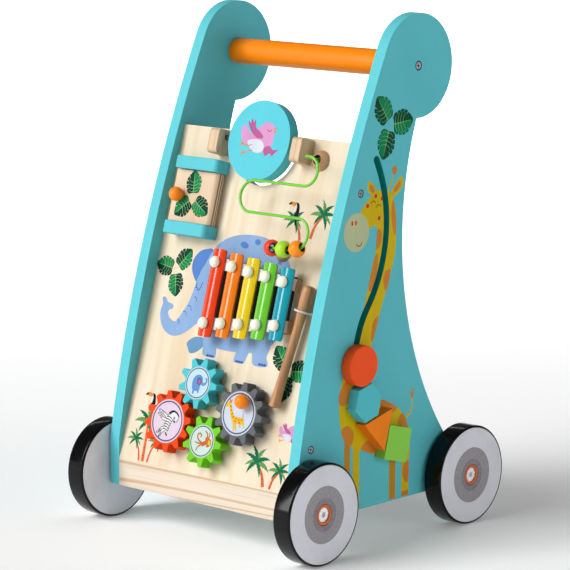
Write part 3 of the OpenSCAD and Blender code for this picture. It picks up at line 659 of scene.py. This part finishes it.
class Drawing:
    """Printed shapes on a plane. Each ink becomes one piece of thin closed slabs.

    A slab reaches SUNK below the face and FILM above it. Each level adds LEVEL, and each later
    shape ORDER, so that no two tops lie in one plane. Points closer than JOINED become one.
    All of these are in mm.
    """

    SUNK = -0.05
    FILM = 0.08
    LEVEL = 0.03
    ORDER = 0.0005
    JOINED = 0.03

    def __init__(self, name, plane, body, lift=0.0):
        self.name, self.plane, self.body, self.lift = name, plane, body, lift
        self.shapes = {}
        self.count = 0
        self.put(0, 0)

    def put(self, x, y, scale=1.0, turn=0.0):
        """Where the next shapes go, how large they are, and how they are turned in degrees."""
        angle = math.radians(turn)
        self.spot = (x, y, scale, math.cos(angle), math.sin(angle))

    def placed(self, point):
        x, y, scale, c, s = self.spot
        px, py = point[0] * scale, point[1] * scale
        return Vector((x + px * c - py * s, y + px * s + py * c))

    def fill(self, ink_name, outline, level=0):
        """Fills a closed outline. Points that lie almost on one another are joined."""
        outline = [self.placed(p) for p in outline]
        kept = [p for i, p in enumerate(outline) if (p - outline[i - 1]).length > self.JOINED]
        area = sum(a.x * b.y - b.x * a.y for a, b in zip(kept, kept[1:] + kept[:1]))
        if area < 0:
            kept.reverse()
        self.count += 1
        top = self.FILM + self.LEVEL * level + self.ORDER * self.count
        self.shapes.setdefault(ink_name, []).append((kept, top))

    def blob(self, ink_name, points, level=0, steps=5):
        """Fills a smooth closed curve through a few points."""
        self.fill(ink_name, curved(points, steps=steps), level)

    def line(self, ink_name, points, width, tip=None, level=1, steps=5):
        """Draws a smooth pen stroke through a few points."""
        path = curved(points, False, steps) if len(points) > 2 else [Vector(p) for p in points]
        self.fill(ink_name, stroke(path, width, tip), level)

    def build(self, cutter=None):
        """One piece for each ink. A cutter is taken out of every slab that it could touch."""
        for ink_name, shapes in self.shapes.items():
            joined = bmesh.new()
            for outline, top in shapes:
                slab = prism("slab", self.plane, outline, self.lift + self.SUNK, self.lift + top)
                if cutter:
                    slab = carved(slab, cutter)
                joined.from_mesh(slab)
            mesh = bpy.data.meshes.new(f"{self.name}_{ink_name}")
            joined.to_mesh(mesh)
            joined.free()
            mesh.materials.append(INKS[ink_name].material)
            piece = bpy.data.objects.new(mesh.name, mesh)
            scene.collection.objects.link(piece)
            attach(piece, self.body)


INK_COLOURS = {
    "leaf_dark": (0, 66, 44),
    "leaf_bright": (8, 142, 76),
    "leaf_vein": (166, 216, 150),
    "side_leaf_dark": (0, 84, 48),
    "side_leaf_bright": (6, 146, 84),
    "side_leaf_vein": (140, 214, 160),
    "frond_dark": (0, 118, 80),
    "frond_light": (104, 164, 84),
    "trunk": (232, 112, 62),
    "trunk_ring": (176, 74, 44),
    "black": (14, 14, 18),
    "white": (240, 240, 238),
    "beak": (250, 150, 40),
    "elephant": (148, 183, 226),
    "elephant_ear": (90, 136, 208),
    "elephant_foot": (112, 160, 200),
    "elephant_line": (70, 108, 186),
    "bird_pink": (226, 160, 208),
    "bird_rose": (196, 98, 158),
    "bird_white": (226, 232, 242),
    "bird_orange": (236, 140, 56),
    "giraffe": (234, 202, 12),
    "giraffe_spot": (230, 146, 52),
    "giraffe_leg": (214, 150, 40),
    "giraffe_muzzle": (208, 216, 170),
    "giraffe_line": (150, 74, 30),
    "giraffe_red": (232, 60, 50),
    "rim_dark": (92, 92, 112),
    "icon_yellow": (244, 196, 36),
    "icon_brown": (208, 106, 54),
    "icon_blue": (104, 152, 210),
}
INKS = {name: ink(name, rgb) for name, rgb in INK_COLOURS.items()}

LEAF_STEP = 1.7


def leaf_edge(angle):
    """Distance of a split leaf's edge from its middle, for an angle from its tip in degrees."""
    reach = 0.40 + 0.10 * math.cos(math.radians(angle)) + 0.09 * math.exp(-((angle / 16) ** 2))
    reach += 0.09 * math.exp(-(((angle - 138) / 26) ** 2))
    slits = sum(max(0, 1 - abs(angle - at) / 2.6) for at in (36, 60, 85, 111))
    return reach * (1 - 0.40 * slits)


def leaf(d, x, y, turn, length, dark="leaf_dark", bright="leaf_bright", vein="leaf_vein"):
    """A split leaf from its stalk at x, y, turned by degrees, with a brighter half and pale veins."""
    d.put(x, y, length, turn - 90)
    wide, middle = 0.98, 0.45
    half = []
    for i in range(round(180 / LEAF_STEP) + 1):
        a, reach = math.radians(i * LEAF_STEP), leaf_edge(i * LEAF_STEP)
        half.append(Vector((reach * math.sin(a) * wide, middle + reach * math.cos(a))))
    d.fill(dark, half + [Vector((-p.x, p.y)) for p in half[-2:0:-1]], 0)
    shrink = 0.92
    inner = [(max(p.x, 0.0) * shrink + 0.01, middle + (p.y - middle) * shrink) for p in half]
    d.fill(bright, inner, 1)
    d.line(vein, [(0, 0.02), (0.004, 0.5), (0, 0.92)], 0.026, 0.008, 2)
    for sign in (-1, 1):
        for i, a in enumerate((47, 72, 97, 126)):
            reach = leaf_edge(a) * 0.8
            angle = math.radians(a)
            tip = (sign * reach * math.sin(angle) * wide, middle + reach * math.cos(angle))
            start = (0, 0.56 - 0.12 * i)
            bend = ((start[0] + tip[0]) / 2, (start[1] + tip[1]) / 2 - 0.035)
            d.line(vein, [start, bend, tip], 0.016, 0.006, 2, 4)
    d.put(0, 0)


def leaf_trio(d, x, y, turns, length, *inks):
    """Three split leaves that spread from one place."""
    for turn in turns:
        a = math.radians(turn)
        leaf(d, x + 1.6 * math.cos(a), y + 1.6 * math.sin(a), turn, length, *inks)


FROND_DROOP = 0.95
FROND_STEPS = 20
FROND_TEETH = 5


def frond(d, shade, x, y, turn, length):
    """A palm frond that bends downwards, with a toothed lower side."""
    spine, at = [Vector((x, y))], math.radians(turn)
    fall = -FROND_DROOP if math.cos(at) > 0 else FROND_DROOP
    for i in range(FROND_STEPS):
        a = at + fall * (i / FROND_STEPS - 0.35)
        spine.append(spine[-1] + Vector((math.cos(a), math.sin(a))) * length / FROND_STEPS)
    upper, lower = [], []
    for i, point in enumerate(spine):
        t = i / FROND_STEPS
        ahead = spine[min(i + 1, FROND_STEPS)] - spine[max(i - 1, 0)]
        normal = Vector((-ahead.y, ahead.x)).normalized() * (1 if fall < 0 else -1)
        broad = 0.17 * length * math.sin(math.pi * min(1, 0.06 + 0.94 * t) ** 0.8)
        tooth = 0.45 + 0.55 * (t * FROND_TEETH % 1)
        upper.append(point + normal * broad * 0.7)
        lower.append(point - normal * broad * tooth)
    d.fill(shade, upper + lower[::-1], 1 if shade == "frond_light" else 2)


# Each frond's turn in degrees, its length and whether it is light
FRONDS = (
    (-62, 0.84, False), (-30, 0.8, True), (10, 0.9, False), (50, 0.95, False),
    (97, 0.96, True), (138, 0.95, False), (176, 1.0, True), (218, 0.8, False),
)


def palm(d, base, top, radius, mirrored=False):
    """A palm with a bent ringed trunk and a fan of fronds."""
    bx, by = base
    tx, ty = top
    middle = (bx + (tx - bx) * 0.32, by + (ty - by) * 0.55)
    trunk = curved([base, middle, top], False, 6)
    d.fill("trunk", stroke(trunk, radius * 0.2, radius * 0.11), 0)
    for i in range(2, len(trunk) - 2, 2):
        across = (trunk[i + 1] - trunk[i - 1]).orthogonal().normalized() * radius * 0.075
        d.line("trunk_ring", [trunk[i] - across, trunk[i] + across], radius * 0.03, level=1)
    for turn, long, light in FRONDS:
        if mirrored:
            turn = 160 - turn
        frond(d, "frond_light" if light else "frond_dark", tx, ty, turn, radius * long)


def toucan(d, x, y, size):
    """A perched black bird with a white bib and a long orange beak, facing left."""
    d.put(x, y, size)
    d.blob("black", [
        (-2.6, 7.5), (-0.6, 8.6), (1.6, 7.4), (2.6, 4), (2.9, 0), (2.2, -4), (2.4, -9), (0.8, -9),
        (0.2, -4), (-1.6, -1), (-2.0, 3), (-1.8, 6),
    ], 3)
    d.blob("white", [(-1.9, 6), (-0.4, 6.3), (-0.2, 3), (-1.2, 0.4), (-2.3, 2.4)], 4)
    d.blob("beak", [(-2.2, 7.9), (-4.6, 9), (-7.4, 7.9), (-5.4, 5.9), (-2.4, 5.8)], 3)
    d.blob("black", [(-6.1, 8.7), (-7.6, 8.1), (-9.2, 6.4), (-6.9, 6.5), (-6.0, 7.2)], 4)
    d.fill("white", oval(-1.1, 7.3, 0.5), 5)
    d.put(0, 0)


def bird(d, x, y, size, turn=0):
    """A round pink bird in flight, with a closed eye."""
    d.put(x, y, size, turn)
    d.blob("bird_pink", [
        (-20, 7), (-19.5, 1), (-15, -5), (-6, -10), (4, -13), (13, -10), (18, -3), (18, 6),
        (15, 12.5), (8, 14), (1, 10), (-4, 4.5), (-10, 3.5), (-16.5, 10),
    ], 0)
    d.blob("bird_white", [(-11, -4), (-2, -1.5), (6, -3), (9.5, -9.5), (3, -13), (-4, -11.5)], 1)
    d.blob("bird_rose", [
        (6.5, 0.5), (0, -0.5), (-6.5, 3), (-11.5, 8), (-14, 13.5), (-11, 12), (-10.4, 16),
        (-7.6, 12.6), (-6, 15.4), (-4, 8.5), (2, 5),
    ], 2, steps=4)
    d.blob("bird_rose", [
        (9, -9), (15, -6), (20, -9), (26, -8.6), (22.6, -11.6), (20, -14.4), (17, -12.4), (12, -15),
    ], 1, steps=4)
    for tip_y, root_y in ((10.4, 8.2), (5.6, 6.6)):
        d.fill("bird_orange", [(17.4, root_y + 1.1), (17.6, root_y - 1.1), (21.5, tip_y)], 1)
    d.line("bird_rose", arc(12.0, 8.6, 2.3, 185, 355, 6), 0.9, level=2, steps=2)
    for root, ankle in (((-5, -6.5), (-15, -6.4)), ((-3, -11), (-12, -14))):
        d.line("bird_orange", [root, ((root[0] + ankle[0]) / 2, root[1] - 1.2), ankle], 0.8, level=1)
        for spread in (-2.6, 0.0, 2.6):
            d.line("bird_orange", [ankle, (ankle[0] - 4.2, ankle[1] + spread)], 0.7, level=1)
    d.put(0, 0)


def elephant(d):
    """The large blue elephant behind the xylophone, with its eye closed."""
    d.blob("elephant_ear", [
        (-40, 211), (-49, 211.5), (-57, 208.5), (-63, 201), (-63.6, 192), (-59.6, 184.5),
        (-54, 179), (-44, 176), (-34, 190),
    ])
    d.blob("elephant_foot", [
        (-51, 121), (-42, 127.5), (-30, 127.5), (-29, 121), (-36, 114), (-44.5, 111.3),
        (-48.6, 115.7),
    ], steps=4)
    d.blob("elephant", [
        (-46, 200), (-36, 217), (-19, 227), (4, 231), (28, 229), (48, 220), (62, 203), (70, 183),
        (70, 160), (62, 141), (50, 128), (32, 122), (13, 120), (-8, 120), (-26, 124), (-36, 134),
        (-48, 150), (-53, 176),
    ], 1)
    d.blob("elephant", [
        (-46, 196), (-53, 184), (-56, 170), (-59.4, 158), (-64.7, 148.2), (-71.2, 139),
        (-79.1, 140.6), (-83.1, 145.1), (-82.6, 148.5), (-78.5, 150.3), (-78.1, 153.2),
        (-81.5, 155.2), (-86.2, 155.8), (-88.7, 159), (-92, 160.6), (-94, 158.7), (-92.4, 153.9),
        (-93.5, 147), (-92, 139), (-86.2, 130.6), (-76.7, 125.4), (-67.5, 125.1), (-57, 129.4),
        (-46, 138), (-34, 150), (-30, 180),
    ], 1)
    legs = (
        [(-30, 130), (-29.6, 119), (-28.2, 112.6), (-23, 111), (-13.4, 111), (-11.4, 113.4),
         (-12.6, 121), (-14, 130)],
        [(12.6, 130), (13.2, 120), (12, 112.5), (14.7, 110.5), (24.6, 110.5), (26.4, 112.8),
         (28.6, 120), (32, 130)],
        [(30, 130), (34, 120), (36.4, 112), (44, 110.5), (54, 111.6), (55.2, 114.6), (52, 121),
         (53.6, 132)],
    )
    for leg in legs:
        d.blob("elephant", leg, 1, steps=4)
        left, right, sole = leg[3][0], leg[5][0], leg[4][1]
        for share in (0.1, 0.38, 0.66):
            x = left + (right - left) * share
            toe = [
                (x - 1.4, sole + 0.3), (x - 1.1, sole + 2), (x + 0.4, sole + 2.6),
                (x + 1.8, sole + 1.8), (x + 2, sole + 0.3),
            ]
            d.blob("elephant_line", toe, 2, steps=2)
    for x, y, rx, ry in (
        (-2, 220.5, 5.4, 3.0), (14, 225, 3.6, 2.8), (46, 209, 2.6, 2.0), (27, 219, 2.4, 1.8),
    ):
        d.fill("elephant_ear", oval(x, y, rx, ry, -10), 2)
    d.line("elephant_line", [
        (-53.6, 179), (-52.4, 174.4), (-49.6, 171.6), (-47.4, 174.6), (-46, 179.6),
    ], 1.0, level=2)
    d.line("elephant_line", [(-55, 173.4), (-52.2, 174)], 0.7, level=2)
    for start, bend, end in (
        ((-53, 165), (-50, 163.6), (-49.4, 160.2)), ((-59.4, 155.4), (-56, 155.4), (-53, 151)),
        ((-64, 149.6), (-60.6, 149.4), (-58.6, 145.4)), ((-69.4, 141.4), (-67, 139.6), (-66, 136)),
    ):
        d.line("elephant_line", [start, bend, end], 0.9, 0.5, level=2)


def xylophone_patch(d):
    """The black patch under the xylophone's bars."""
    d.fill("black", [(-31.5, 139), (71, 145), (71, 198), (-31.5, 204)], 3)


board_print = Drawing("board_print", BOARD, "frame")
elephant(board_print)
xylophone_patch(board_print)
leaf_trio(board_print, -84, 188, (52, 172, 284), 24)
leaf_trio(board_print, 81, 111, (132, 8, 268), 26)
palm(board_print, (-79, 1.5), (-81, 39), 19)
palm(board_print, (-84, 1.5), (-93, 21), 12)
palm(board_print, (-73, 1.5), (-65, 22), 12)
toucan(board_print, -80, 57, 1.2)
palm(board_print, (78, 2.5), (65, 23.5), 18.5, True)
palm(board_print, (86, 2), (94.7, 19), 14.5)
palm(board_print, (64.5, 232), (54, 249.5), 15)
toucan(board_print, 54, 256.5, 1.2)
palm(board_print, (77, 235), (87.5, 257.5), 17)
bird(board_print, 96, 55.5, 0.56)
board_print.build()

door_print = Drawing("door_print", BOARD, "door", DOOR_TOP)
leaf_trio(door_print, -68.5, 257, (98, 328, 222), 24)
door_print.build()

disc_print = Drawing("disc_print", BOARD, "disc", DISC_TOP)
bird(disc_print, -1, 321.5, 1.1)
disc_print.build()


RIM_R = 0.90


def rim(d):
    """The dark ring inside a gear's picture: two half rings that meet."""
    for start in (0, 180):
        d.fill("rim_dark", stroke(arc(0, 0, RIM_R, start, start + 180.5, 40), RIM_R * 0.07), 0)


def giraffe_picture(d):
    """A small spotted giraffe, in shares of the label's radius, as all the gears' pictures."""
    legs = (
        ((-0.22, -0.36), (-0.1, -0.8)), ((-0.1, -0.4), (0.04, -0.78)), ((0.26, -0.34), (0.2, -0.6)),
        ((0.36, -0.34), (0.48, -0.6)),
    )
    for hip, hoof in legs:
        d.line("icon_yellow", [hip, hoof], 0.1, 0.06)
    d.blob("icon_yellow", [
        (-0.36, -0.2), (-0.12, -0.16), (0.3, -0.18), (0.42, -0.3), (0.34, -0.44), (0, -0.46),
        (-0.26, -0.42),
    ], 1)
    d.line("icon_yellow", [(-0.28, -0.24), (-0.42, 0.02), (-0.6, 0.36)], 0.22, 0.12)
    d.blob("icon_yellow", [
        (-0.52, 0.46), (-0.66, 0.46), (-0.84, 0.26), (-0.8, 0.18), (-0.64, 0.26), (-0.52, 0.34),
    ], 1)
    for ear in ((-0.64, 0.56), (-0.5, 0.56)):
        d.line("icon_brown", [(-0.58, 0.42), ear], 0.06, 0.04)
    d.line("icon_brown", [(0.34, -0.2), (0.3, -0.08), (0.28, 0.04)], 0.035)
    spots = (
        (-0.5, 0.24), (-0.46, 0.08), (-0.36, -0.06), (-0.26, -0.2), (-0.08, -0.24), (0.1, -0.28),
        (0.26, -0.26), (-0.1, -0.36), (0.16, -0.4),
    )
    for x, y in spots:
        d.fill("icon_brown", oval(x, y, 0.05, 0.038, 30, 10), 2)


def zebra_picture(d):
    """A small striped zebra with a black outline."""
    legs = (
        ((0.06, 0.12), (-0.14, 0.34), (-0.44, 0.56)), ((0, 0.04), (-0.26, 0.16), (-0.5, 0.42)),
        ((-0.16, -0.3), (-0.36, -0.3), (-0.6, -0.44)),
        ((-0.18, -0.36), (-0.36, -0.46), (-0.5, -0.64)),
    )
    trunk = ((0.26, 0.2), (0.12, 0.04), (-0.02, -0.18), (-0.12, -0.4))
    head = ((0.22, 0.16), (0.46, 0.26), (0.6, 0.1), (0.46, -0.06))
    for shade, extra, level in (("black", 0.05, 0), ("white", 0, 1)):
        for leg in legs:
            d.line(shade, leg, 0.13 + extra, 0.06 + extra, level)
        d.line(shade, trunk, 0.34 + extra, 0.28 + extra, level)
        d.line(shade, head, 0.24 + extra, 0.16 + extra, level)
    for i in range(6):
        x, y = 0.16 - 0.055 * i, 0.16 - 0.105 * i
        d.line("black", [(x - 0.16, y + 0.06), (x, y + 0.02), (x + 0.14, y - 0.1)], 0.045, 0.03, 2)
    for leg in legs:
        for step in (0.3, 0.6):
            x, y = Vector(leg[1]).lerp(Vector(leg[2]), step)
            d.line("black", [(x - 0.04, y - 0.05), (x + 0.04, y + 0.05)], 0.035, level=2)
        d.line("black", [leg[2], (leg[2][0] - 0.05, leg[2][1] + 0.02)], 0.09, level=2)
    d.line("black", [(0.12, 0.34), (0.36, 0.42), (0.6, 0.3), (0.72, 0.12)], 0.09, 0.06, 2)
    d.line("black", [(0.46, -0.04), (0.4, -0.1)], 0.13, 0.1, 2)
    d.line("black", [(-0.12, -0.5), (-0.06, -0.62), (-0.02, -0.66)], 0.05, 0.08, 2)


def monkey_picture(d):
    """A small monkey with a long curled tail."""
    d.line("icon_brown", [(0.4, 0.28), (0.36, -0.02), (0.02, -0.2)], 0.28, 0.26)
    arms = [[(0.4, 0.26), (0.34, 0.5), (0.14, 0.64)], [(0.44, 0.2), (0.56, 0.4), (0.5, 0.58)]]
    legs = [
        [(0.02, -0.2), (-0.24, -0.36), (-0.36, -0.62)],
        [(0.06, -0.12), (-0.26, -0.16), (-0.54, -0.12)],
    ]
    tail = [(0.0, -0.1), (-0.3, 0.06), (-0.42, 0.3), (-0.26, 0.46), (-0.1, 0.32), (-0.2, 0.22)]
    for path in (*arms, *legs, tail):
        d.line("icon_brown", path, 0.1, 0.07)
    d.fill("icon_brown", oval(0.58, -0.02, 0.2, 0.24), 2)
    d.fill("icon_brown", oval(0.5, -0.24, 0.08, 0.08, 0, 10), 2)
    d.fill("icon_yellow", oval(0.62, -0.02, 0.12, 0.16), 3)


def elephant_picture(d):
    """A small elephant. It has a size and a turn of its own."""
    d.put(*GEARS["turquoise_gear"], 18, 4)
    d.blob("icon_blue", [
        (-0.36, 0.1), (-0.2, 0.36), (0.1, 0.44), (0.3, 0.3), (0.34, 0.04), (0.2, -0.14),
        (0.16, -0.36), (-0.1, -0.42), (-0.34, -0.3),
    ], 1)
    d.line("icon_blue", [
        (0.26, 0.06), (0.42, -0.06), (0.58, 0.04), (0.62, 0.22), (0.5, 0.26),
    ], 0.18, 0.06)
    d.line("icon_blue", [(-0.22, -0.3), (-0.26, -0.58)], 0.14, 0.1)
    d.line("icon_blue", [(0.08, -0.3), (0.1, -0.52)], 0.14, 0.1)
    d.fill("elephant_line", oval(0.1, 0.1, 0.17, 0.2, 10), 2)
    d.fill("icon_brown", oval(0.12, 0.08, 0.09, 0.11, 10), 3)


GEAR_PICTURES = (
    ("picture_giraffe", "grey_gear", giraffe_picture, 0, LARGE_LABEL_R),
    ("picture_zebra", "red_gear", zebra_picture, 14, LARGE_LABEL_R),
    ("picture_monkey", "green_gear", monkey_picture, 0, SMALL_LABEL_R),
    ("picture_elephant", "turquoise_gear", elephant_picture, 0, SMALL_LABEL_R),
)
for picture_name, gear, draw, turn, size in GEAR_PICTURES:
    picture = Drawing(picture_name, BOARD, gear, LABEL_TOP)
    picture.put(*GEARS[gear], size, turn)
    rim(picture)
    draw(picture)
    picture.build()


def giraffe(d):
    """The tall yellow giraffe along the groove, with spots, horns and a closed eye."""
    legs = ((-54, -46, 112, "giraffe_leg"), (10, 19, 84, "giraffe_leg"),
            (-42, -33, 106, "giraffe"), (28, 38, 90, "giraffe"))
    for left, right, top, shade in legs:
        d.fill(shade, [(left, top), (left, 37), (right, 37), (right, top)], 0)
        d.fill("giraffe_spot", [(left, 42), (left, 37), (right, 37), (right, 42)], 1)
    d.blob("giraffe", [
        (-36, 310), (-25, 324), (-11, 332), (-1, 333), (8, 329), (14, 319), (17, 303), (16, 275),
        (8, 250), (-2, 226), (-12, 202), (-20, 180), (-22, 160), (-14, 143), (2, 133), (17, 127),
        (29, 117), (36, 104), (39, 88), (38, 72), (24, 72), (6, 78), (-14, 86), (-34, 93),
        (-48, 100), (-57, 111), (-61, 128), (-61, 148), (-55, 166), (-45, 184), (-35, 208),
        (-26, 232), (-17, 262), (-11, 280), (-9, 294), (-14, 301), (-24, 298),
    ], 1)
    for tip, root in (((-23, 343), (-14, 331)), ((25, 343), (12, 328))):
        lean = 1 if tip[0] > 0 else -1
        ear = curved([tip, (tip[0] + 0.5 * lean, tip[1] - 9), (root[0] + 2 * lean, root[1] - 3),
                      (root[0] - 3 * lean, root[1] + 1), (tip[0] - 7 * lean, tip[1] - 4)])
        d.fill("giraffe", ear, 0)
        middle = sum(ear, Vector((0, 0))) / len(ear)
        d.fill("giraffe_spot", [middle + (p - middle) * 0.55 for p in ear], 1)
    d.line("giraffe", [(5, 331), (9, 339), (13, 347)], 2.0, 1.2, level=0)
    d.fill("giraffe_spot", oval(14, 349.5, 3.4, 4.2), 1)
    d.fill("giraffe_muzzle", oval(-39, 297, 17.6, 18), 2)
    for x in (-45, -40):
        d.fill("giraffe_red", oval(x, 306, 1.4, 2.2), 3)
    d.line("giraffe_line", arc(-35.5, 288, 4, 200, 350, 8), 0.9, level=3, steps=2)
    for x, y in ((-16, 320.5), (-8.5, 316.5)):
        d.line("giraffe_line", arc(x, y, 3.2, 20, 170, 8), 0.9, level=2, steps=2)
    for x, y in ((-24, 320), (-7.5, 307), (-12.5, 328), (-3.5, 325)):
        d.fill("giraffe_red", oval(x, y, 2.1), 2)
    patches = (
        [(13, 322), (17, 302), (15.5, 288), (10.5, 302), (10, 316)],
        [(-9.5, 296), (-4, 294), (-4.5, 284), (-11, 278)],
        [(-13, 272), (-8.5, 270), (-13, 244), (-22, 243)],
        [(9.5, 256), (2, 256), (-1, 246), (3.5, 238)],
        [(-7, 214), (-14, 212), (-18, 198), (-15.5, 192)],
        [(-61, 150), (-52, 160), (-46, 148), (-52, 138), (-61, 140)],
        [(-58.5, 114), (-50, 118), (-41, 110), (-44, 99), (-52, 102)],
        [(-30, 92), (-24, 99), (-12, 97), (-8, 84.5)],
        [(-4, 136), (0, 124), (12, 120), (20, 125)],
        [(28, 118), (22, 110), (28, 98), (38.5, 98), (34, 110)],
        [(38, 70), (31, 68), (29.5, 58), (34, 50), (38, 52)],
    )
    for patch in patches:
        d.blob("giraffe_spot", patch, 2)
    d.line("giraffe", [(32, 113), (39, 116), (42.5, 123), (42, 133)], 2.6, 1.2, level=0)
    for tip in ((38, 139), (42, 142), (46, 140)):
        d.line("giraffe_spot", [(42, 130), ((42 + tip[0]) / 2 + 0.5, 135), tip], 1.8, 0.4, level=1)


SIDE_LEAF = ("side_leaf_dark", "side_leaf_bright", "side_leaf_vein")
side_print = Drawing("side_print", RIGHT_SIDE, "frame")
leaf_trio(side_print, 7, 392, (124, 5, 252), 30, *SIDE_LEAF)
giraffe(side_print)

# The printed slabs are cut away over the groove
groove_line = arc(*LOWER_ARC, 243.5, 143, 40) + arc(*UPPER_ARC, -37, 28, 30)[1:]
groove = stroke(groove_line, GROOVE_WIDTH)
cutter = bpy.data.objects.new("cutter", prism("cutter", RIGHT_SIDE, groove[::-1], -0.5, 1.0))
scene.collection.objects.link(cutter)
side_print.build(cutter)
bpy.data.objects.remove(cutter)

# ---- floor and light
FLOOR_REACH = 30
floor_mesh = bpy.data.meshes.new("floor")
corners = [(x * FLOOR_REACH, y * FLOOR_REACH, 0) for x, y in ((-1, -1), (1, -1), (1, 1), (-1, 1))]
floor_mesh.from_pydata(corners, [], [(0, 1, 2, 3)])
floor = bpy.data.objects.new("floor", floor_mesh)
scene.collection.objects.link(floor)
f = Finish("pale_floor")
f.set(Base_Color=f.mix(f.noise(3, 2), (0.93, 0.93, 0.93, 1), (0.96, 0.96, 0.96, 1)), Roughness=0.9)
f.set(Emission_Color=(1, 1, 1, 1), Emission_Strength=0.16)
floor_mesh.materials.append(f.material)


def area_light(name, at, target, size, power):
    """A white rectangle of light that faces a target. Lengths are in metres, power in watts."""
    data = bpy.data.lights.new(name, "AREA")
    data.shape = "RECTANGLE"
    data.size, data.size_y = size
    data.energy = power
    obj = bpy.data.objects.new(name, data)
    scene.collection.objects.link(obj)
    obj.location = at
    obj.rotation_euler = (Vector(target) - Vector(at)).to_track_quat("-Z", "Y").to_euler()


sun_data = bpy.data.lights.new("sun", "SUN")
sun_data.energy = 2.3
sun_data.angle = math.radians(36)
sun = bpy.data.objects.new("sun", sun_data)
scene.collection.objects.link(sun)
sun.rotation_euler = Vector((0.32, 0.72, -0.61)).to_track_quat("-Z", "Y").to_euler()
area_light("softbox", (-2.2, -3.2, 1.7), (0, 0, 0.25), (0.9, 2.4), 52)
area_light("side_fill", (3.2, 0.4, 1.0), (0, 0, 0.3), (1.2, 1.2), 19)
area_light("backdrop", (-2.6, 2.8, 2.6), (-3.7, 4.0, 0), (4, 3), 260)
world = bpy.data.worlds.new("studio")
scene.world = world
world.use_nodes = True
studio = world.node_tree
background = studio.nodes["Background"]
background.inputs[0].default_value = (1, 1, 1, 1)
height = studio.nodes.new("ShaderNodeSeparateXYZ")
studio.links.new(studio.nodes.new("ShaderNodeTexCoord").outputs["Generated"], height.inputs[0])
# The surroundings are bright at the horizon, where the floor ends, and dim above
fade = studio.nodes.new("ShaderNodeMapRange")
for socket, value in zip(fade.inputs[1:5], (0.09, 0.16, 0.9, 0.11)):
    socket.default_value = value
studio.links.new(height.outputs[2], fade.inputs[0])
studio.links.new(fade.outputs[0], background.inputs[1])
